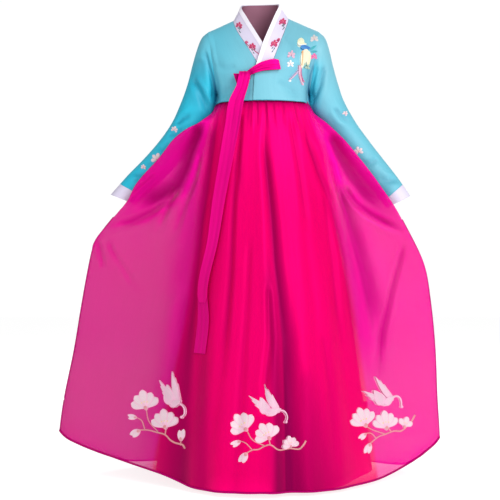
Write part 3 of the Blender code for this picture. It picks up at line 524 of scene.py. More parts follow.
def creased(points, table, depth_scale=1.0, closed=False, fade_over=0.04, loose=1.0):
    """A grid of points with the creases of its side pressed in, and their shade. The same creases
    lie on the back, mirrored by the body's middle plane. loose is 0 where a seam holds it."""
    height, shade = creases(on_elevation(points), table)
    fade = ease((np.abs(points[..., 1]) - 0.01) / fade_over)
    lift = height * fade * depth_scale * loose
    return points + lift[..., None] * grid_normals(points, closed), shade * fade


# ---- Making objects ----
def new_object(name, data):
    made = bpy.data.objects.new(name, data)
    bpy.context.scene.collection.objects.link(made)
    return made


def add_piece(name, vertices, faces, material, uvs=None):
    """A piece that rides on the body, with the places of its faces' corners in the weave."""
    mesh = bpy.data.meshes.new(name)
    mesh.from_pydata(vertices.tolist(), [], faces)
    layer = mesh.uv_layers.new(name="cloth")
    if uvs is not None:
        layer.data.foreach_set("uv", uvs.reshape(-1).astype(np.float32))
    mesh.shade_smooth()
    mesh.materials.append(material)
    piece = new_object(name, mesh)
    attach(piece, "root")
    return piece


def cloth(materials, kind, node_name, points, flat, held, rests_on, closed=False, **marks):
    """A thin closed shell from a grid of points, (columns, rows, 3), inwards, which stands for a
    CAD node. flat, held and rests_on are not used, nor is the finish in CLOTHS. Closed: the last
    column joins the first. marks are point values that the material reads."""
    material, slot, thickness = CLOTHS[kind]
    columns, rows = points.shape[:2]
    under = columns * rows
    corner_i, corner_k = quads(columns, rows, closed)
    outer = corner_i % columns * rows + corner_k
    line, down = np.arange(columns - (not closed)) * rows, np.arange(rows - 1)
    after = (line + rows) % under
    rims = [(line, after), (after + rows - 1, line + rows - 1)]
    if not closed:
        rims += [(down + 1, down), (under - rows + down, under - rows + down + 1)]
    rims = [np.stack((a, under + a, under + b, b), axis=1) for a, b in rims]
    faces = np.concatenate((outer, under + outer[:, ::-1], *rims))

    looped = np.concatenate((points, points[:1])) if closed else points
    widths = running(np.linalg.norm(np.diff(looped, axis=0), axis=-1).mean(axis=1))
    lengths = running(np.linalg.norm(np.diff(points, axis=1), axis=-1).mean(axis=0))
    sheet_uv = np.stack((widths[corner_i], lengths[corner_k]), axis=-1)
    rim_uv = np.zeros((sum(map(len, rims)), 4, 2))
    uvs = np.concatenate((sheet_uv, sheet_uv[:, ::-1], rim_uv))

    vertices = np.concatenate((points, points - thickness * grid_normals(points, closed)))
    vertices = vertices.reshape(-1, 3)
    piece = add_piece(f"{node_name}_cloth", vertices, faces.tolist(), materials[material], uvs)
    for mark, values in marks.items():
        attribute = piece.data.attributes.new(mark, "FLOAT", "POINT")
        attribute.data.foreach_set("value", np.tile(values.ravel(), 2).astype(np.float32))
    piece.data.set_sharp_from_angle(angle=math.radians(60))
    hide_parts(node_name)


def rolled_edge(name, path, radius, material, sides=8):
    """A fine tube along a path."""
    ahead = unit(np.gradient(path, axis=0))
    side = np.cross(ahead, (0.0, 0.0, 1.0))
    steep = np.linalg.norm(side, axis=-1, keepdims=True) < 0.2
    side = unit(np.where(steep, np.cross(ahead, (1.0, 0.0, 0.0)), side))
    up = np.cross(side, ahead)
    turns = np.linspace(0, 2 * math.pi, sides + 1)[:-1, None]
    spokes = np.cos(turns) * side[:, None] + np.sin(turns) * up[:, None]
    points = (path[:, None] + radius * spokes).reshape(-1, 3)
    corner_i, corner_k = quads(len(path), sides + 1)
    faces = (corner_i * sides + corner_k % sides)[:, [0, 3, 2, 1]].tolist()
    faces += [list(range(sides))[::-1], list(range(len(points) - sides, len(points)))]
    add_piece(name, points, faces, material)


# ---- Materials ----
def fill(tree, made, inputs):
    """Sets a node's inputs, by name or number, to values or to the results of other nodes."""
    for key, value in inputs.items():
        if isinstance(value, bpy.types.NodeSocket):
            tree.links.new(value, made.inputs[key])
        else:
            made.inputs[key].default_value = value
    return made.outputs


def node(tree, kind, settings=None, **inputs):
    """The outputs of a new node."""
    made = tree.nodes.new(f"ShaderNode{kind}")
    for key, value in (settings or {}).items():
        setattr(made, key, value)
    return fill(tree, made, inputs or {})


def mixed(tree, factor, first, second):
    """A colour mix node's result."""
    made = tree.nodes.new("ShaderNodeMix")
    made.data_type = "RGBA"
    return fill(tree, made, {0: factor, 6: first, 7: second})[2]


def calculated(tree, operation, *values):
    """A math node's result."""
    made = tree.nodes.new("ShaderNodeMath")
    made.operation = operation
    return fill(tree, made, dict(enumerate(values)))[0]


def mark_of(tree, name, result="Fac"):
    """A piece's point value, or its colour."""
    return node(tree, "Attribute", {"attribute_name": name})[result]


def waves(tree, place, direction, pitch, distortion):
    """Bands of this pitch, in metres."""
    return node(
        tree, "TexWave", {"bands_direction": direction}, Vector=place,
        Scale=WAVE_SCALE / pitch, Distortion=distortion, Detail=1.0,
    )["Fac"]


def new_material(name):
    material = bpy.data.materials.new(name)
    material.use_nodes = True
    return material, material.node_tree, material.node_tree.nodes["Principled BSDF"]


def cloth_material(
    name, colour, deep, light, roughness, thread=0.0004, weave=0.10, sheen=0.0, specular=0.5,
    specular_tint=(1, 1, 1), alpha=1.0, cloud=0.5, streaks=0.4, sheen_tint=(1, 1, 1),
    metallic=0.0, second=None, coat=0.0,
):
    """Woven cloth. colour varies in soft clouds towards light and streaks towards deep; the shade
    mark of a piece is painted shade: it darkens its creases and shaded places to deep. thread is
    the pitch of the weave in metres. second is a colour of painted light or shade that the mark of
    that name brings in, and the gathered mark makes a sheer cloth nearly opaque."""
    material, tree, shader = new_material(name)
    place = node(tree, "TexCoord")
    clouds = node(tree, "TexNoise", Vector=place["Object"], Scale=5.0, Detail=3.0)["Fac"]
    stretched = node(tree, "Mapping", Vector=place["UV"], Scale=SLUB_SCALE)[0]
    slubs = node(tree, "TexNoise", Vector=stretched, Scale=1.0, Detail=3.0)["Fac"]
    streaky = calculated(tree, "MULTIPLY", slubs, streaks)
    lit = mixed(tree, calculated(tree, "MULTIPLY", clouds, cloud), (*colour, 1), (*light, 1))
    # painted light or shade: the second mark brings in the second colour
    if second:
        uneven = calculated(tree, "MULTIPLY_ADD", clouds, -0.3, 1.1)
        share = calculated(tree, "MULTIPLY", mark_of(tree, "second"), uneven)
        lit = mixed(tree, share, lit, (*second, 1))
    lit = mixed(tree, calculated(tree, "MULTIPLY", streaky, 0.35), lit, (*deep, 1))
    woven = (waves(tree, place["UV"], direction, thread, 0.6) for direction in "XY")
    ribbed = calculated(tree, "MULTIPLY", streaky, 1.5)
    heights = calculated(tree, "ADD", calculated(tree, "MULTIPLY", *woven), ribbed)
    uneven = calculated(tree, "MULTIPLY", slubs, 0.12)
    fill(tree, shader, {
        # painted shade: the shade mark darkens the colour towards deep
        "Base Color": mixed(tree, mark_of(tree, "shade"), lit, (*deep, 1)),
        "Normal": node(tree, "Bump", Strength=weave, Distance=thread * 0.6, Height=heights)[0],
        "Roughness": calculated(tree, "ADD", uneven, roughness - 0.06),
        "Sheen Weight": sheen, "Sheen Tint": (*sheen_tint, 1), "Sheen Roughness": 0.4,
        "Specular IOR Level": specular, "Specular Tint": (*specular_tint, 1),
        "Metallic": metallic, "Coat Weight": coat, "Coat Roughness": 0.45,
    })
    if alpha < 1:
        thicker = calculated(tree, "MULTIPLY", mark_of(tree, "gathered"), GATHERED_ALPHA - alpha)
        fill(tree, shader, {"Alpha": calculated(tree, "ADD", thicker, alpha)})
    return material


def build_materials():
    gloss = {"specular": 0.10, "specular_tint": (1.0, 0.1, 0.5), "metallic": 0.12}
    # name, then colour, deep (also the painted shade colour) and light, roughness, and what else
    # its material says
    return {key: cloth_material(*looks, **more) for key, *looks, more in (
        # jacket: a paler, greyer turquoise than the dye where lit, a painted sheen; second, the
        # saturated turquoise, is painted shade
        ("jacket", "turquoise_satin", (0.16, 0.46, 0.56), (0.0, 0.11, 0.22), (0.26, 0.53, 0.62),
         0.52, {"specular": 0.35, "coat": 0.05, "weave": 0.18, "second": (0.0, 0.47, 0.65)}),
        ("white", "lilac_white_satin", (0.64, 0.59, 0.75), (0.46, 0.42, 0.60),
         (0.76, 0.71, 0.85), 0.5, {"specular": 0.3}),
        ("strip", "white_strip", (0.82, 0.78, 0.87), (0.6, 0.56, 0.7), (0.88, 0.85, 0.91), 0.55,
         {"specular": 0.3}),
        # plum lining inside the back of the neck; its dark plum is partly the lining's colour and
        # partly painted shade inside the neck
        ("plum", "plum_lining", (0.335, 0.145, 0.21), (0.18, 0.06, 0.10), (0.37, 0.17, 0.24), 0.7,
         {"specular": 0.2, "streaks": 0.2}),
        ("satin", "magenta_satin", (0.92, 0.0, 0.145), (0.12, 0.0, 0.025), (0.95, 0.0, 0.18), 0.5,
         {"cloud": 0.3, **gloss}),
        # organza: second is the brighter, bluer pink of light shining through where no satin lies
        # behind, painted light
        ("organza", "magenta_organza", (0.93, 0.0, 0.160), (0.20, 0.0, 0.052), (0.97, 0.0, 0.215),
         0.42, {"sheen": 0.05, "sheen_tint": (1.0, 0.1, 0.6), "alpha": 0.55, "cloud": 0.3,
                "thread": 0.0006, "second": (0.93, 0.003, 0.36), **gloss}),
        ("ribbon", "magenta_ribbon", (0.82, 0.0, 0.215), (0.20, 0.0, 0.06), (0.88, 0.008, 0.30),
         0.40, {"sheen": 0.10, "sheen_tint": (1.0, 0.2, 0.6), **gloss}),
        ("band", "white_waistband", (0.78, 0.76, 0.80), (0.5, 0.48, 0.52), (0.84, 0.82, 0.86),
         0.7, {}),
        ("hem", "magenta_rolled_hem", (0.36, 0.0, 0.11), (0.20, 0.0, 0.07), (0.45, 0.0, 0.14),
         0.5, {"specular": 0.1, "specular_tint": (1.0, 0.1, 0.5)}),
        # the dark edge along the jacket's hem: its dark colour paints the shade under the hem
        ("hem_edge_shade", "turquoise_edge", (0.0, 0.20, 0.30), (0.0, 0.12, 0.2), (0.0, 0.26, 0.36), 0.5,
         {"specular": 0.4}),
    )}


# ---- Skirts ----
def ring(theta, sections):
    """x and y of a ring whose ellipse is drawn out to a rounded point at either side."""
    half_width, half_depth, middle, right, left, point_y, sharp = np.moveaxis(sections, -1, 0)
    sine, cosine = np.sin(theta), np.cos(theta)
    extra = np.maximum(np.where(sine < 0, right + middle, left - middle) - half_width, 0.0)
    pull = np.abs(sine) ** sharp
    flat = SIDE_FLATNESS * np.minimum(extra / FULLY_DRAWN_OUT, 1.0) * sine**6
    x = middle + half_width * sine + np.sign(sine) * extra * pull
    return np.stack((x, -half_depth * cosine * (1 - flat) + point_y * pull), axis=-1)


def flap(theta, v):
    """How far the wearer's left back panel is lifted where it wraps over the right one."""
    return (0.0024 + 0.0026 * ease((v - 0.05) * 5)) * ease((np.degrees(theta) - 148) / 14)


def fold_height(theta, v):
    degrees, total = np.degrees(theta), 0.0
    for top, hem, start, deepest, height, half_width in FOLDS:
        away = np.clip((degrees - (top + (hem - top) * v)) / half_width, -1, 1)
        along = ease((v - start) / (deepest - start)) * (1 - 0.25 * ease((v - deepest) / 0.5))
        total = total + height * along * np.cos(math.pi / 2 * away) ** 2
    return total * (0.55 + 0.45 * ease((np.abs(degrees) - 40) / 30))


def gathers(theta, v):
    """Small uneven pleats that fan out from the waistband and die away down the skirt."""
    total = 0.0
    for height, half_width, count, seed in GATHERS:
        draw = np.random.default_rng(seed)
        places = np.sort(draw.uniform(-180, 180, count))
        lengths = draw.uniform(0.35, 1.0, count) * GATHERS_END
        sizes = draw.uniform(0.4, 1.0, count) * height
        for place, length, size in zip(places, lengths, sizes):
            along = ease((v - 0.005) / 0.03) * (1 - ease((v - 0.03) / length))
            total = total + size * along * bell((np.degrees(theta) - place) / half_width)
    return total


def lofted(curve, theta, z, lift):
    """Points of a curve in plan at these heights, lifted outwards."""
    step = 0.004
    along = curve(theta + step) - curve(theta - step)
    outward = unit(np.stack((along[..., 1], -along[..., 0]), axis=-1))
    return np.concatenate((curve(theta) + lift[..., None] * outward, z[..., None]), axis=-1)


def organza(theta, v):
    """Points of the organza with its broad folds; its creases are pressed in afterwards."""
    hems = np.moveaxis(smooth_table(ORGANZA_HEM, np.abs(np.degrees(theta))), -1, 0)
    z = mix(SKIRT_TOP_Z, mix(*hems, ease(0.5 + np.sin(theta))), v)
    sections = smooth_table(ORGANZA, z)
    lift = fold_height(theta, v) + flap(theta, v) + gathers(theta, v)
    return lofted(lambda angle: ring(angle, sections), theta, z, lift)


def satin(theta, v):
    hem = SATIN_HEM_Z + SATIN_SIDE_RISE * ease((np.abs(np.sin(theta)) - 0.55) / 0.35)
    z = mix(SKIRT_TOP_Z, hem, v)
    half_width, half_depth, middle = np.moveaxis(smooth_table(SATIN, z), -1, 0)

    def curve(angle):
        return np.stack((middle + half_width * np.sin(angle), -half_depth * np.cos(angle)), axis=-1)

    soft = 0.004 * ease(3 * v) * (1 - np.cos(9 * theta))
    return lofted(curve, theta, z, flap(theta, v) - soft)


def skirt_grid(surface, start, end, columns, rows):
    """Columns run so that normals point outwards: from the last angle to the first."""
    angles = np.radians(np.linspace(end, start, columns))[:, None]
    return surface(*np.broadcast_arrays(angles, np.linspace(0, 1, rows)))


def held_out(points):
    """1 where the eye sees no satin behind the organza, 0 where it does."""
    half_width, _, middle = np.moveaxis(smooth_table(SATIN, points[..., 2]), -1, 0)
    blur = 0.045 - 0.031 * ease((-points[..., 2] - 0.55) / 0.35)
    return ease(0.5 + (np.abs(points[..., 0] - middle) - half_width) / blur)


def bunched(points):
    """1 on the ridges where the organza is bunched together."""
    found = np.zeros(points.shape[:-1])
    for half_width, strength, *path in BUNCHED:
        away, along, _ = path_distance(on_elevation(points), path)
        fade = strength * ease(along / 0.15) * ease((1 - along) / 0.4)
        found = np.maximum(found, fade * bell(away / half_width))
    return found


def build_skirts(materials):
    back = 180 + WRAP_ANGLE
    v = np.linspace(0, 1, ORGANZA_ROWS)
    from_top, from_hem = np.array((v, 1 - v)) * (SKIRT_TOP_Z - SATIN_HEM_Z)
    made = {}
    for name, start, end, columns, width in (
        ("organza_front", -57, 57, 190, 0.74),
        ("organza_side_left", 57, 123, 140, 0.52),
        ("organza_back_left", 123, back, 66, 0.42),
        ("organza_side_right", -123, -57, 140, 0.62),
        ("organza_back_right", -back, -123, 66, 0.42),
    ):
        grid = skirt_grid(organza, start, end, columns, ORGANZA_ROWS)
        # alone brings in the organza's second colour, painted light shining through where no satin
        # lies behind
        alone = held_out(grid)
        grid, shade = creased(grid, CREASES_FRONT)
        hem = 0.65 * (1 - ease(from_hem / HEM_DENSE)) * (1 - 0.85 * alone)
        top = 0.75 * (1 - ease((from_top - 0.10) / 0.30)) * (1 - 0.8 * alone)
        gathered = np.maximum.reduce((shade, hem, top, bunched(grid)))
        # painted shadow of the jacket's hem on the top of the organza
        painted_jacket_shadow = 0.55 * (1 - ease((from_top - 0.030) / 0.035))
        # painted shade on the wearer's right, where the organza stands alone on the side away from
        # the light
        painted_side_shade = 0.30 * alone * ease((-grid[..., 0] - 0.10) / 0.15)
        shade = np.maximum(np.maximum(shade, painted_jacket_shadow), painted_side_shade)
        cloth(
            materials, "organza", name, grid, (width, SKIRT_LENGTH), "gathered",
            ["chima_waistband"], shade=shade, second=alone, gathered=gathered,
        )
        made[name] = grid
    for name, start, end, columns, width in (
        ("satin_front", -90, 90, 110, 0.80),
        ("satin_back_left", 90, back, 56, 0.42),
        ("satin_back_right", -back, -90, 56, 0.42),
    ):
        turned = np.abs(np.sin(np.radians(np.linspace(end, start, columns))))[:, None]
        grid, shade = creased(
            skirt_grid(satin, start, end, columns, SATIN_ROWS), CREASES_FRONT, 0.5
        )
        # painted shade along the satin's sides, where it turns away
        shade = np.maximum(0.85 * shade, 0.6 * ease((turned - 0.94) / 0.05))
        cloth(
            materials, "satin", name, grid, (width, SKIRT_LENGTH), "gathered",
            ["chima_waistband"], shade=shade,
        )
    return made


def build_hems(materials, skirts, jacket):
    """Rolled hem round the organza and up its drawn-out sides, and a fine edge under the jacket."""
    order = ("back_left", "side_left", "front", "side_right", "back_right")
    hem = np.concatenate([skirts[f"organza_{name}"][:, -1] for name in order])
    hem = hem[np.append(True, np.linalg.norm(np.diff(hem, axis=0), axis=1) > 1e-4)]
    hem = hem + (0, 0, HEM_ROLL)
    rolled_edge("organza_hem_roll", hem, HEM_ROLL, materials["hem"])
    rows = np.arange(int(SIDE_ROLL_START * ORGANZA_ROWS), ORGANZA_ROWS)
    for name in ("left", "right"):
        grid = skirts[f"organza_side_{name}"]
        farthest = np.abs(grid[..., 0]).argmax(axis=0)
        path = smoothed(grid[farthest[rows], rows], PATH_SMOOTHING)
        rolled_edge(f"organza_side_roll_{name}", path, SIDE_ROLL, materials["hem"])
    # A fine dark tube along each jacket panel's hem, painted shade under the hem
    for name, grid in jacket.items():
        path = grid[:, 0] + (0, 0, 0.0004)
        rolled_edge(f"{name}_edge", path, JACKET_EDGE, materials["hem_edge_shade"])


# ---- Jacket ----
def panel(*edges):
    """A sheet between four edges, left(v), right(v), bottom(u) and top(u), each read 301 times and
    joined. Its bends are rounded everywhere but along its edges."""
    keys = np.linspace(0, 1, 301)
    lines = [np.array([edge(key) for key in keys]) for edge in edges]

    def read(number, t):
        return np.stack([np.interp(t, keys, axis) for axis in lines[number].T], axis=-1)

    def sheet(u, v):
        away = (1 - (1 - u) * np.abs(1 - u))[..., None]
        up = np.clip(v, 0, 1)[..., None]
        low, high = (mix(line[0], line[-1], away) for line in lines[2:])
        across = mix(read(0, v), read(1, v), away)
        return across + mix(read(2, u), read(3, u), up) - mix(low, high, up)

    def softened(u, v):
        u, v = np.broadcast_arrays(np.asarray(u, float), np.asarray(v, float))
        inside = np.clip(6 * u * (1 - u), 0, 1) * np.clip(6 * v * (1 - v), 0, 1)
        shares = ((-1.0, 1), (-0.5, 2), (0.0, 3), (0.5, 2), (1.0, 1))
        return sum(weight * sheet(u, v + share * 0.15 * inside) for share, weight in shares) / 9

    return softened


def hem_arc(side, depth, end):
    def edge(u):
        angle = math.radians(end * u)
        x = side * JACKET_HEM_HALF_WIDTH * math.cos(angle)
        return np.array((x, -depth * math.sin(angle), JACKET_HEM_Z))

    return edge


def side_edge(side, face):
    """Up the side seam and then round one half of the armhole. face is -1 in front, 1 behind."""
    outer, inner = SLEEVES[side][0][:4].reshape(2, 2)
    bottom = (side * JACKET_HEM_HALF_WIDTH, 0.0, JACKET_HEM_Z)
    armpit = (side * inner[0], 0.0, inner[1])

    def edge(v):
        if v < SIDE_SEAM_SHARE:
            return mix(bottom, armpit, v / SIDE_SEAM_SHARE)
        turn = math.pi * (1 - (v - SIDE_SEAM_SHARE) / (1 - SIDE_SEAM_SHARE))
        x, z = (outer + inner) / 2 + (outer - inner) / 2 * math.cos(turn)
        return np.array((side * x, face * ARMHOLE_HALF_DEPTH * math.sin(turn), z))

    return edge


def collar_edges(place):
    row = smooth_table(COLLAR, place)
    return row[..., :3], row[..., 3:]


def neck_seam(place):
    inner, outer = collar_edges(place)
    return outer + NECK_SEAM * unit(outer - inner)


def front_edge(side):
    """From the hem up the front edge, and then along the collar to the shoulder seam."""
    if side < 0:
        lower = ((0.034, -0.1120, JACKET_HEM_Z), (0.022, -0.1110, -0.180))
        first, corner = 0.0, neck_seam(0.0)
    else:
        lower = ((-0.030, -0.1175, JACKET_HEM_Z), (-0.0245, -0.1192, -0.1340))
        first, corner = 1.0, (0.0215, -0.1178, -0.1345)

    def edge(v):
        if v < 0.40:
            return mix(*lower, v / 0.40)
        if v < 0.48:
            return mix(lower[1], corner, (v - 0.40) / 0.08)
        return neck_seam(mix(first, NECK_PLACE[side], (v - 0.48) / 0.52))

    return edge


def shoulder_edge(side, face):
    tip, neck = side_edge(side, face)(1.0), neck_seam(NECK_PLACE[side])
    return lambda u: mix(tip, neck, u)


def back_top_edge(side):
    shoulder = shoulder_edge(side, 1)

    def edge(u):
        if u < 0.5:
            return shoulder(u / 0.5)
        return neck_seam(mix(NECK_PLACE[side], COLLAR_BACK, (u - 0.5) / 0.5))

    return edge


def centre_back(side):
    bottom = (0.0, 0.0, JACKET_BACK_DEPTH, JACKET_HEM_Z)
    rows = (bottom, (0.6, 0.0, 0.1180, -0.090), (1.0, *back_top_edge(side)(1.0)))
    return lambda v: smooth_table(rows, v)


def front_panel(side):
    hem = hem_arc(side, *FRONT_HEM[side])
    return panel(side_edge(side, -1), front_edge(side), hem, shoulder_edge(side, -1))


def back_panel(side):
    hem = hem_arc(side, -JACKET_BACK_DEPTH, 90)
    return panel(side_edge(side, 1), centre_back(side), hem, back_top_edge(side))


def jacket_shade(grid, shade):
    """The creases' painted shade, with the painted dark lines of shade in the armholes."""
    return np.maximum(JACKET_CREASE_SHADE * shade, creases(on_elevation(grid), ARMHOLE_LINES)[1])


def build_body(materials):
    made = {}
    u, up = np.linspace(0, 1, 60)[:, None], np.linspace(0, 1, 68)[None, :]
    for name, surface, across, flat in (
        ("jeogori_front_right", front_panel(-1), u, (0.18, 0.255)),
        ("jeogori_front_left", front_panel(1), 1 - u, (0.19, 0.26)),
        ("jeogori_back_right", back_panel(-1), 1 - u, (0.19, 0.275)),
        ("jeogori_back_left", back_panel(1), u, (0.19, 0.275)),
    ):
        loose = ease(across / 0.12) * ease((1 - across) / 0.06) * ease((1 - up) / 0.06)
        grid, table = surface(across, up), CREASES_JACKET
        if "front" in name:
            table += CREASES_CHEST
        else:
            grid = mix(grid, smoothed(grid, PANEL_SMOOTHING), ease((1 - up) / 0.2)[..., None])
        grid, shade = creased(grid, table, fade_over=0.02, loose=loose)
        # painted shade: the second, saturated turquoise grows towards the wearer's right, away from
        # the light
        second = 0.10 + 0.30 * ease((-grid[..., 0] - 0.02) / 0.12)
        cloth(
            materials, "jacket", name, grid, flat, "draped", ["chima_waistband"],
            shade=jacket_shade(grid, shade), second=second,
        )
        made[name] = grid
    return made


def sleeve_grid(rings, side, columns, rows, first=0.0):
    table = np.column_stack((np.linspace(0, 1, len(rings)), rings))
    turns = side * np.linspace(0, 2 * math.pi, columns + 1)[:-1, None]
    sections = smooth_table(table, np.linspace(first, 1, rows))[None]
    outer_x, outer_z, inner_x, inner_z, middle_y, half_depth = np.moveaxis(sections, -1, 0)
    share = (1 + np.cos(turns)) / 2
    x, z = mix(inner_x, outer_x, share), mix(inner_z, outer_z, share)
    return np.stack((side * x, middle_y - half_depth * np.sin(turns), z), axis=-1)


def build_sleeves(materials):
    made = {}
    along = np.linspace(0, 1, 116)[None, :]
    loose = ease((along - 0.02) / 0.14) * ease((1 - along) / 0.03)
    for name, side in (("right", -1), ("left", 1)):
        rings = SLEEVES[side]
        grid = sleeve_grid(rings, side, 68, 116)
        grid, shade = creased(grid, CREASES_JACKET, 1.5, True, 0.02, loose)
        down = -grid[..., 2]
        # painted shade: the second, saturated turquoise, strong down the wearer's right sleeve and
        # faint along the left
        if side < 0:
            second = 0.40 + 0.55 * ease((down - 0.05) / 0.13)
        else:
            second = 0.28 * ease((along - 0.15) / 0.5)
        # beside: painted shade by each armhole
        beside = 0.95 * bell((np.abs(grid[..., 0]) - 0.140) / 0.030)
        cloth(
            materials, "jacket", f"sleeve_{name}", grid, (0.30, 0.50), "draped",
            [f"jeogori_front_{name}", f"jeogori_back_{name}"], True,
            shade=jacket_shade(grid, shade),
            second=np.maximum(second, beside * ease((down - 0.08) / 0.06)),
        )
        made[side] = grid
        cuff = sleeve_grid((rings[-1], CUFF_ENDS[side]), side, 72, 14, 0.01)
        cloth(
            materials, "cuff", f"cuff_{name}", cuff, (0.25, 0.04), "draped", [f"sleeve_{name}"],
            True,
        )
    return made


# ---- Collar, lining, waistband ----
def collar_grid(places, start, end, count):
    inner, outer = collar_edges(places)
    return mix(inner[:, None], outer[:, None], np.linspace(start, end, count)[:, None])


def build_collar(materials):
    places = np.linspace(0, 1, 150)
    grid = collar_grid(places, 0, 1, 16)
    cloth(
        materials, "collar", "collar", grid, (0.055, 0.62), "draped",
        ["jeogori_front_left", "jeogori_front_right"],
    )
    strip = collar_grid(places, -0.01, 0.27, 8)
    strip = strip + 0.0012 * grid_normals(strip)
    cloth(materials, "strip", "dongjeong", strip, (0.014, 0.56), "laid", ["collar"])
    return grid


def build_lining(materials):
    """Inside the back of the collar, and from there down inside the back."""
    margin, lay = 0.012, 0.0034
    places = np.linspace(NECK_PLACE[1] - margin, NECK_PLACE[-1] + margin, 64)
    upper = collar_grid(places, 0, 1, 12)
    upper = upper + (0.0020 + lay) * grid_normals(upper)
    backs = {side: back_panel(side) for side in (-1, 1)}
    lower = []
    for place in places:
        side = -1 if place < COLLAR_BACK else 1
        share = (place - NECK_PLACE[side]) / (COLLAR_BACK - NECK_PLACE[side])
        lower.append(backs[side](0.5 + 0.5 * share, np.linspace(1.0, 0.5, 16)[1:]))
    lower = np.array(lower)
    lower = lower - (0.0018 + lay) * unit(lower * (1, 1, 0) + 1e-9) * (1, 1, 0)
    cloth(
        materials, "lining", "back_neck_lining", np.concatenate((upper, lower), axis=1),
        (0.20, 0.20), "laid", ["jeogori_back_left", "jeogori_back_right"],
    )


def build_waistband(materials):
    end = math.radians(180 + WRAP_ANGLE)
    theta, v = np.broadcast_arrays(np.linspace(-end, end, 140)[:, None], np.linspace(0, 1, 8))
    tuck = 0.0027 * ease((-np.degrees(theta) - 158) / 12)
    x = (WAISTBAND_HALF_WIDTH - tuck) * np.sin(theta)
    y = (tuck - WAISTBAND_HALF_DEPTH) * np.cos(theta)
    grid = np.stack((x, y, mix(WAISTBAND_BOTTOM_Z, WAISTBAND_TOP_Z, v)), axis=-1)
    cloth(
        materials, "band", "chima_waistband", grid, (0.70, 0.073), "draped",
        ["jeogori_back_left", "jeogori_back_right"],
    )


# ---- Ribbon ----
def tree_of(*grids):
    """A tree for rays, from the outer faces of these grids."""
    vertices, faces = [], []
    for grid in grids:
        corner_i, corner_k = quads(*grid.shape[:2])
        faces += (len(vertices) + corner_i * grid.shape[1] + corner_k).tolist()
        vertices += map(Vector, grid.reshape(-1, 3))
    return BVHTree.FromPolygons(vertices, faces)


def ribbon_folds(u, v, folds):
    """Height and shade of soft folds that run along a ribbon. u is across it, v along it; each fold
    has its u at the start and end, half width, depth, shade, and where along it ends."""
    height = shade = 0.0 * (u + v)
    for start, end, half_width, depth, darkness, length in folds:
        away = (u - start - (end - start) * v) / half_width
        along = 1 - ease((v - length) / 0.25)
        trough = bell(away) * along
        height = height + depth * (0.5 * bell(np.abs(away) - 1.8) * along - trough)
        shade = np.maximum(shade, darkness * trough)
    return height, shade


def tail_grid(tree, table, top_y, rise, columns, folds):
    """A flat ribbon that hangs from the knot and then rests on the organza, and its shade."""
    heights = np.linspace(table[-1][0], table[0][0], TAIL_ROWS)
    grid = np.zeros((columns, TAIL_ROWS, 3))
    across, shares = np.linspace(0, 1, columns), np.linspace(0, 1, 9)
    for k, (z, (middle, width)) in enumerate(zip(heights, smooth_table(table, heights))):
        lying = ease((TAIL_HANGS_DOWN_TO - z) / (TAIL_HANGS_DOWN_TO - TAIL_LIES_BELOW_Z))
        low = min(z, TAIL_LIES_BELOW_Z + 0.06)
        depths = np.array([
            tree.ray_cast(Vector((x, -2.0, low)), Vector((0, 1, 0)))[0].y
            for x in middle + (shares - 0.5) * width
        ])
        out = max(mix(depths[0], depths[-1], shares) - depths)
        rest = mix(depths[0], depths[-1], across) - out - rise
        grid[:, k, 0] = middle + (across - 0.5) * width
        grid[:, k, 1] = mix(top_y, rest, lying)
        grid[:, k, 2] = z
    v = np.linspace(1, 0, TAIL_ROWS)
    height, shade = ribbon_folds(across[:, None], v, folds)
    grid[..., 1] -= np.maximum(height + 0.0015, 0)
    # painted shade at the top of the tail, under the knot
    return grid, np.maximum(shade, 0.6 * (1 - ease(v / 0.035)))


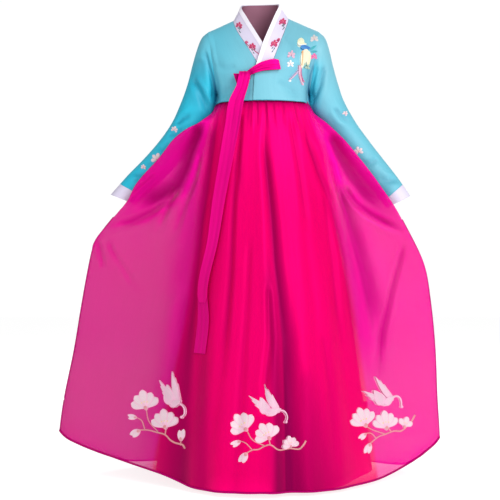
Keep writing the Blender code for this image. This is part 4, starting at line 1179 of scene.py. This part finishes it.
def build_ribbon(materials, tree):
    def tie(name, grid, shade, flat, held, *rests_on, kind="ribbon", closed=False):
        cloth(
            materials, kind, f"goreum_{name}", grid, flat, held, rests_on, closed, shade=shade
        )

    grid, shade = tail_grid(
        tree, TAIL_FRONT, TAIL_FRONT_TOP_Y, 2 * TAIL_REST, 28, FRONT_TAIL_FOLDS
    )
    tie(
        "tail_front", grid, shade, (0.043, 0.68), "hung", "goreum_knot", "goreum_tail_back",
        kind="tail",
    )
    grid, shade = tail_grid(tree, TAIL_BACK, TAIL_BACK_TOP_Y, TAIL_REST, 22, BACK_TAIL_FOLDS)
    shade = np.maximum(shade, BACK_TAIL_SHADE)
    tie(
        "tail_back", grid, shade, (0.040, 0.78), "hung", "goreum_knot", "organza_front",
        kind="tail",
    )

    u, v = np.broadcast_arrays(np.linspace(0, 1, 121)[:, None], np.linspace(1, 0, 24))
    place = 1 - np.abs(2 * u - 1)
    upper_x, upper_z, lower_x, lower_z, middle_y, half_depth = np.moveaxis(
        smooth_table(LOOP, place), -1, 0
    )
    nose = np.sqrt(np.maximum(1 - (np.maximum(place - 0.9, 0) / 0.1) ** 2, 0.0))
    height, shade = ribbon_folds(v, place, LOOP_FOLDS)
    face = np.where(u < 0.5, 1, -1)
    y = middle_y + face * (half_depth + height * ease((1 - place) / 0.12)) * nose
    # painted shade on the loop near the knot
    shade = np.maximum(shade, 0.75 * (1 - ease((place - 0.10) / 0.30)))
    grid = np.stack((mix(lower_x, upper_x, v), y, mix(lower_z, upper_z, v)), axis=-1)
    tie("loop", grid, shade, (0.032, 0.22), "folded", "goreum_knot")

    tilt = math.radians(KNOT_TILT)
    axis = np.array((math.cos(tilt), 0.0, math.sin(tilt)))
    up = np.array((-math.sin(tilt), 0.0, math.cos(tilt)))
    turn, v = np.linspace(0, 2 * math.pi, 49)[:-1, None], np.linspace(0, 1, 30)
    height, shade = ribbon_folds(v, 0 * turn + 0.5, KNOT_FOLDS)
    waist = 1 - 0.08 * np.sin(math.pi * v)
    tall = (KNOT_HALF_HEIGHT * waist + height) * np.cos(turn)
    deep = (KNOT_HALF_DEPTH * waist + height) * np.sin(turn)
    run = ((v - 0.5) * KNOT_LENGTH)[:, None] * axis
    grid = np.array(KNOT_MIDDLE) + run + tall[..., None] * up - deep[..., None] * (0, 1, 0)
    # painted shade on the knot's underside and at both ends where it wraps in
    under = 0.6 * ease((-np.cos(turn) - 0.2) / 0.8)
    ends = 0.7 * ease((np.abs(2 * v - 1) - 0.75) / 0.25)
    shade = np.maximum(shade, np.maximum(under, ends))
    tie("knot", grid, shade, (0.068, 0.022), "folded", "jeogori_front_left", closed=True)

    z, u = np.linspace(SHORT_END[-1][0], SHORT_END[0][0], 24), np.linspace(0, 1, 24)[:, None]
    height, shade = ribbon_folds(u, 0 * z, SHORT_END_FOLDS)
    x = mix(*smooth_table(SHORT_END, z).T, u)
    grid = np.stack((x, SHORT_END_Y - height, z + 0 * u), axis=-1)
    # painted shade on the short end, deepest beside the knot
    shade = np.maximum(shade, 0.55 + 0.35 * u)
    tie("short_end", grid, shade, (0.036, 0.033), "folded", "goreum_knot")


# ---- Embroidery ----
def towards(angle):
    return np.array((math.cos(math.radians(angle)), math.sin(math.radians(angle))))


class Stitching:
    """Raised satin-stitched shapes on a surface, gathered into one mesh. Each is drawn on the
    elevation that an eye point sees, and dropped onto the surface along its lines of sight."""

    def __init__(self, tree, eye=EYE):
        self.tree, self.eye, self.pile = tree, Vector(eye), 0.0
        self.vertices, self.faces, self.uvs, self.colours = [], [], [], []

    def surface_at(self, across, up):
        target = Vector((across, 0.0, up))
        sight = (target - self.eye).normalized()
        point, normal, _, _ = self.tree.ray_cast(self.eye, sight)
        if point is None:
            point, normal, _, _ = self.tree.find_nearest(target - 0.2 * sight)
        return np.array(point), np.array(-normal if normal.dot(sight) > 0 else normal)

    def shape(self, places, heights, colours, uvs):
        """A low closed form: a grid of places, (n, m, 2), with its heights above the cloth."""
        n, m = heights.shape
        found = np.array([self.surface_at(*place) for place in places.reshape(-1, 2)])
        points, normals = found[:, 0], found[:, 1]
        top = points + (STITCH_REST + self.pile + heights.reshape(-1, 1)) * normals
        start = sum(map(len, self.vertices))
        self.vertices += [top, points + STITCH_REST * 0.5 * normals]
        self.colours += [colours.reshape(-1, 3)] * 2
        corner_i, corner_k = quads(n, m)
        outer = corner_i * m + corner_k
        i, k = np.arange(n - 1), np.arange(m - 1)
        rim = np.concatenate((k, i * m + m - 1, n * m - 1 - k, (n - 1 - i) * m))
        after = np.roll(rim, -1)
        rim = np.stack((rim, n * m + rim, n * m + after, after), axis=1)
        faces = np.concatenate((outer, n * m + outer[:, ::-1], rim))
        self.uvs.append(np.tile(uvs.reshape(-1, 2), (2, 1))[faces])
        self.faces.append(start + faces)
        self.pile += STITCH_PILE

    def outlined(self, base, ahead, length, s, half, bow, inner, edge, height, lift):
        """A flat-topped shape round a middle line, with a narrow outline in the edge colour."""
        aside = np.array((-ahead[1], ahead[0]))
        s, t = np.broadcast_arrays(s, np.sin(np.linspace(-math.pi / 2, math.pi / 2, 9)))
        places = base + (s * length)[..., None] * ahead + (bow + t * half)[..., None] * aside
        rise = height * (1 - np.abs(t) ** 6) * np.sin(math.pi * s) ** 0.3 + lift
        rim = np.maximum(ease((np.abs(t) - 0.72) / 0.24), ease((s - 0.90) / 0.09))
        colours = mix(inner, edge, 0.45 * ease(1 - s / 0.6)[..., None])
        colours = mix(colours, edge, rim[..., None])
        self.shape(places, rise, colours, np.stack((t * half, s * length), axis=-1))

    def petal(
        self, base, angle, length, width, inner, edge, height=0.0007, tip=1.25, blunt=0.62, lift=0.0
    ):
        """A rounded petal. tip above 1 puts its widest place nearer the tip, lift raises it."""
        s = np.linspace(0.02, 0.995, 12)[:, None]
        half = width / 2 * np.sin(math.pi * s**tip) ** blunt
        self.outlined(base, towards(angle), length, s, half, 0.0, inner, edge, height, lift)

    def leaf(self, base, tip, width, inner, edge, height=0.0008, lean=0.0, lift=0.0):
        """A pointed shape from base to tip. lean bows its middle line to one side."""
        base, tip = np.array(base), np.array(tip)
        length = np.linalg.norm(tip - base)
        s = np.linspace(0.01, 0.99, 14)[:, None]
        half = width / 2 * np.sin(math.pi * s**0.7) ** 0.8 * (1 - 0.35 * s)
        bow = lean * np.sin(math.pi * s)
        self.outlined(base, (tip - base) / length, length, s, half, bow, inner, edge, height, lift)

    def stroke(self, path, start_width, end_width, colour, height=0.0011):
        """A line of stem stitches along a smooth path."""
        fine = np.linspace(0, len(path) - 1, 5 * (len(path) - 1) + 1)
        middle = smooth_table([(key, *place) for key, place in enumerate(path)], fine)
        ahead = unit(np.gradient(middle, axis=0))
        aside = np.stack((-ahead[:, 1], ahead[:, 0]), axis=-1)[:, None]
        t = np.linspace(-1, 1, 5)
        across = t * mix(start_width, end_width, (fine / fine[-1])[:, None]) / 2
        run = running(np.linalg.norm(np.diff(middle, axis=0), axis=1))[:, None] + 0 * t
        rise = height * np.sqrt(np.maximum(1 - t**2, 0)) + 0 * run
        colours = np.broadcast_to(colour, (*rise.shape, 3))
        places = middle[:, None] + across[..., None] * aside
        self.shape(places, rise, colours, np.stack((across, run), axis=-1))

    def dot(self, middle, radius, colour, height=0.0009):
        base = np.array(middle) - (0, radius)
        self.petal(base, 90, 2 * radius, 2 * radius, colour, colour, height, 1.0, 0.5)

    def blossom(self, base, angle, radius, spread, petals, inner=WHITE_THREAD, edge=PINK_THREAD):
        """Petals that fan out from a base, the outer ones first, with stamens at the base."""
        base, gaps = np.array(base), max(petals - 1, 1)
        width = radius * min(0.86 * math.radians(spread) / gaps, 0.50)
        order = sorted(range(petals), key=lambda i: -abs(i - (petals - 1) / 2))
        for rank, i in enumerate(order):
            aside = i / gaps - 0.5
            length = radius * (1.0 - 0.7 * aside**2 - 0.07 * (i % 2))
            self.petal(
                base, angle + spread * aside, length, width, inner, edge, tip=1.8, blunt=0.6,
                lift=0.0005 * (rank // 2),
            )
        for turn in (-24, 0, 24):
            end = base + 0.36 * radius * towards(angle + turn)
            self.stroke((base, (base + end) / 2, end), radius * 0.035, radius * 0.025, edge, 0.0018)
            self.dot(end, radius * 0.04, STAMEN_THREAD, 0.0018)
        base = base - 0.10 * radius * towards(angle)
        self.petal(base, angle, 0.26 * radius, 0.22 * radius, GOLD_THREAD, edge, 0.0018)

    def bud(self, base, angle, length, width):
        for turn, longer, wider, inner, tip, lift in (
            (-10, 1.0, 0.66, WHITE_THREAD, 1.0, 0.0), (11, 0.9, 0.6, WHITE_THREAD, 1.0, 0.0005),
            (0, 0.34, 0.42, GOLD_THREAD, 0.8, 0.0009),
        ):
            self.petal(
                base, angle + turn, length * longer, width * wider, inner, PINK_THREAD, tip=tip,
                lift=lift,
            )

    def bird(self, tip_low, tip_high, breast, shoulder, *neck):
        """A bird with raised wings of three long feathers each, and a thin curled neck."""
        outward = unit(shoulder - breast)
        body = breast - 0.10 * (shoulder - breast)
        for tip, root, away, lean in (
            (tip_low, breast, -outward, -0.003), (tip_high, shoulder, outward, 0.003)
        ):
            for share, offset, width, lift in (
                (0.56, 0.0090, 0.018, 0.0), (0.78, 0.0050, 0.019, 0.0004), (1.0, 0.0, 0.020, 0.0008)
            ):
                start, end = root - 0.12 * (tip - root), mix(root, tip, share) + offset * away
                self.leaf(start, end, width, SILK_THREAD, PINK_THREAD, lean=lean, lift=lift)
                vein = (root, (root + end) / 2, mix(root, end, 0.85))
                self.stroke(vein, 0.0016, 0.0010, WHITE_THREAD, 0.0010 + lift)
        for share, lift in ((0.70, 0.0009), (0.48, 0.0013)):
            end = mix(body, (tip_low + tip_high) / 2, share)
            self.leaf(body, end, 0.056 * share, SILK_THREAD, PINK_THREAD, lift=lift)
        end = shoulder + 0.010 * outward
        self.leaf(body, end, 0.026, SILK_THREAD, PINK_THREAD, lift=0.0017)
        self.stroke(neck, 0.0060, 0.0040, PINK_THREAD)
        self.stroke(neck, 0.0026, 0.0018, WHITE_THREAD, 0.0014)
        self.dot(neck[-1], 0.0042, PINK_THREAD, 0.0014)

    def piece(self, name, material):
        vertices, faces, uvs, colours = map(
            np.concatenate, (self.vertices, self.faces, self.uvs, self.colours)
        )
        piece = add_piece(name, vertices, faces.tolist(), material, uvs)
        tint = piece.data.attributes.new("thread_colour", "FLOAT_COLOR", "POINT")
        colours = np.column_stack((colours, np.ones(len(colours))))
        tint.data.foreach_set("color", colours.ravel().astype(np.float32))
        piece.visible_shadow = False


def thread_material():
    """Satin stitches side by side, in the colour that each shape carries."""
    material, tree, shader = new_material("embroidery_thread")
    tint = mark_of(tree, "thread_colour", "Color")
    stitches = waves(tree, node(tree, "TexCoord")["UV"], "X", STITCH_PITCH, 0.8)
    relief = node(tree, "Bump", Strength=0.35, Distance=0.0004, Height=stitches)
    # painted shade in the grooves between the stitches
    painted_groove_shade = mixed(tree, 0.82, (0, 0, 0, 1), tint)
    fill(tree, shader, {
        "Base Color": mixed(tree, stitches, painted_groove_shade, tint), "Normal": relief[0],
        "Roughness": 0.45, "Sheen Weight": 0.2,
    })
    return material


def stitch_hem(tree, eye, name, motif, material, shift=0.0, flip=1):
    """One branch with its blossoms and bird. flip -1 mirrors it, shift moves it sideways."""
    work = Stitching(tree, eye)

    def at(*places):
        return np.reshape(places, (-1, 2)) * (flip, 1) + (shift, 0)

    def turned(angle):
        return angle if flip > 0 else 180 - angle

    blossoms, buds, twigs, bird = motif
    for start_width, end_width, *path in twigs:
        work.stroke(at(*path), start_width, end_width, GOLD_THREAD)
    for across, up, angle, length, width in buds:
        work.bud(at(across, up)[0], turned(angle), length, width)
    for across, up, angle, radius, spread, petals in blossoms:
        work.blossom(at(across, up)[0], turned(angle), radius, spread, petals)
    work.bird(*at(*bird))
    work.piece(name, material)


def stitch_chest(tree, material):
    """A long-tailed bird between blossoms on the wearer's left breast."""
    work = Stitching(tree)
    blossom, leaf, stroke, dot = work.blossom, work.leaf, work.stroke, work.dot
    pink, lilac = (0.72, 0.40, 0.52), (0.50, 0.42, 0.62)
    grey, teal = (0.62, 0.60, 0.60), (0.10, 0.45, 0.50)
    blossom((0.154, -0.036), 95, 0.015, 190, 5, grey, (0.66, 0.50, 0.52))
    leaf((0.141, -0.066), (0.160, -0.052), 0.009, TEAL_THREAD, teal)
    leaf((0.143, -0.072), (0.164, -0.070), 0.008, TEAL_THREAD, teal)
    blossom((0.152, -0.089), 90, 0.013, 200, 5, (0.74, 0.10, 0.34), (0.84, 0.34, 0.56))
    blossom((0.084, -0.084), 80, 0.0145, 220, 5, pink, (0.62, 0.52, 0.66))
    blossom((0.081, -0.110), 90, 0.012, 240, 5, (0.84, 0.86, 0.88), (0.70, 0.76, 0.84))
    # legs and tail
    stroke(((0.104, -0.128), (0.093, -0.140), (0.079, -0.154)), 0.0050, 0.0042, lilac)
    stroke(((0.098, -0.134), (0.088, -0.145), (0.079, -0.154)), 0.0026, 0.0030, pink, 0.0014)
    dot((0.0785, -0.158), 0.0032, (0.84, 0.80, 0.84))
    stroke(((0.108, -0.112), (0.108, -0.138), (0.117, -0.170)), 0.0075, 0.0045, pink)
    tail = ((0.112, -0.118), (0.113, -0.140), (0.120, -0.160))
    stroke(tail, 0.0026, 0.0024, DEEP_PINK_THREAD, 0.0014)
    # body, wing, neck and head
    leaf((0.128, -0.066), (0.112, -0.124), 0.024, (0.80, 0.70, 0.50), (0.84, 0.80, 0.66))
    leaf((0.134, -0.072), (0.129, -0.118), 0.013, (0.82, 0.76, 0.52), (0.84, 0.82, 0.70))
    wing = ((0.1165, -0.072), (0.1160, -0.090), (0.1130, -0.112))
    stroke(wing, 0.0040, 0.0030, ORANGE_THREAD, 0.0014)
    for place in ((0.123, -0.108), (0.130, -0.112), (0.125, -0.118), (0.131, -0.120)):
        dot(place, 0.0030, (0.34, 0.50, 0.40), 0.0014)
    leaf((0.111, -0.060), (0.140, -0.064), 0.014, BLUE_THREAD, (0.04, 0.28, 0.62), 0.0014)
    leaf((0.102, -0.049), (0.128, -0.054), 0.016, (0.78, 0.76, 0.50), (0.82, 0.82, 0.66), 0.0014)
    dot((0.112, -0.045), 0.0095, (0.80, 0.80, 0.56), 0.0015)
    throat = ((0.104, -0.052), (0.113, -0.056), (0.127, -0.053))
    stroke(throat, 0.0040, 0.0020, (0.84, 0.84, 0.80), 0.0016)
    dot((0.108, -0.043), 0.0010, DARK_THREAD, 0.0018)
    work.piece("embroidery_chest", material)


def stitch_collar(tree, material):
    work = Stitching(tree)
    for across, up, radius, angle in COLLAR_BLOSSOMS:
        base = (across, up - radius * 0.3)
        work.blossom(base, angle, radius, 210, 5, CRIMSON_THREAD, (0.66, 0.08, 0.24))
    for place in COLLAR_DOTS:
        work.dot(place, 0.0013, DARK_THREAD, 0.0006)
    work.piece("embroidery_collar", material)


def stitch_sleeve(tree, name, side, material):
    work = Stitching(tree)
    for blossom_side, across, up, radius, angle in SLEEVE_BLOSSOMS:
        if blossom_side == side:
            inner, edge = (0.78, 0.66, 0.70), (0.80, 0.50, 0.58)
            work.blossom((across, up), angle, radius, 220, 5, inner, edge)
    work.piece(f"embroidery_sleeve_{name}", material)


def build_embroidery(skirts, jacket, sleeves, collar, material):
    tree, middle = tree_of(*skirts.values()), HEM_MOTIFS["middle"]
    for name, motif in HEM_MOTIFS.items():
        stitch_hem(tree, EYE, f"embroidery_hem_{name}", motif, material)
    for name, shift in BACK_MOTIFS:
        stitch_hem(tree, BEHIND, f"embroidery_back_{name}", middle, material, shift, -1)
    stitch_chest(tree_of(jacket["jeogori_front_left"], sleeves[1]), material)
    stitch_collar(tree_of(collar), material)
    for name, side in (("right", -1), ("left", 1)):
        stitch_sleeve(tree_of(sleeves[side]), name, side, material)


# ---- Stage ----
def build_stage():
    mesh = bpy.data.meshes.new("floor")
    sides = ((-1, -1), (1, -1), (1, 1), (-1, 1))
    corners = [(x * FLOOR_HALF, y * FLOOR_HALF, FLOOR_Z) for x, y in sides]
    mesh.from_pydata(corners, [], [(0, 1, 2, 3)])
    new_object("floor", mesh)
    material, tree, shader = new_material("pale_floor")
    fill(tree, shader, {
        "Base Color": (0.42, 0.42, 0.42, 1), "Roughness": 0.9, "Specular IOR Level": 0.0,
        "Emission Color": (1.0, 1.0, 1.0, 1), "Emission Strength": 0.82,
    })
    mesh.materials.append(material)

    for name, place, size, power in (
        ("key", (2.1, -3.7, 1.5), (2.8, 2.8), 190),
        ("fill", (-3.0, -3.2, 0.8), (2.6, 2.6), 30),
        ("rear", (0.4, 3.4, 1.6), (2.6, 2.0), 60),
    ):
        data = bpy.data.lights.new(name, "AREA")
        data.shape = "RECTANGLE"
        data.size, data.size_y = size
        data.energy = power
        light = new_object(name, data)
        light.location = place
        direction = Vector(LIT_PLACE) - Vector(place)
        light.rotation_euler = direction.to_track_quat("-Z", "Y").to_euler()
    world = bpy.data.worlds.new("studio")
    bpy.context.scene.world = world
    world.use_nodes = True
    tree = world.node_tree
    sight = node(tree, "LightPath")["Is Camera Ray"]
    seen = calculated(tree, "MULTIPLY", sight, SEEN_WHITE - ROOM_LIGHT)
    fill(tree, tree.nodes["Background"], {
        "Color": (1.0, 1.0, 1.0, 1), "Strength": calculated(tree, "ADD", seen, ROOM_LIGHT)
    })
    bpy.context.scene.view_settings.view_transform = "Standard"


def build_camera():
    data = bpy.data.cameras.new("camera")
    data.sensor_width = SENSOR_WIDTH
    # At the eye point's distance, the photograph's frame is FRAME_WIDTH wide.
    data.lens = SENSOR_WIDTH * -EYE[1] / FRAME_WIDTH
    camera = new_object("camera", data)
    camera.location = EYE
    camera.rotation_euler = (math.radians(90), 0, 0)
    bpy.context.scene.camera = camera


build_camera()
build_stage()
materials = build_materials()
build_waistband(materials)
skirts = build_skirts(materials)
jacket = build_body(materials)
build_hems(materials, skirts, jacket)
sleeves = build_sleeves(materials)
collar = build_collar(materials)
build_lining(materials)
build_ribbon(materials, tree_of(skirts["organza_front"]))
build_embroidery(skirts, jacket, sleeves, collar, thread_material())
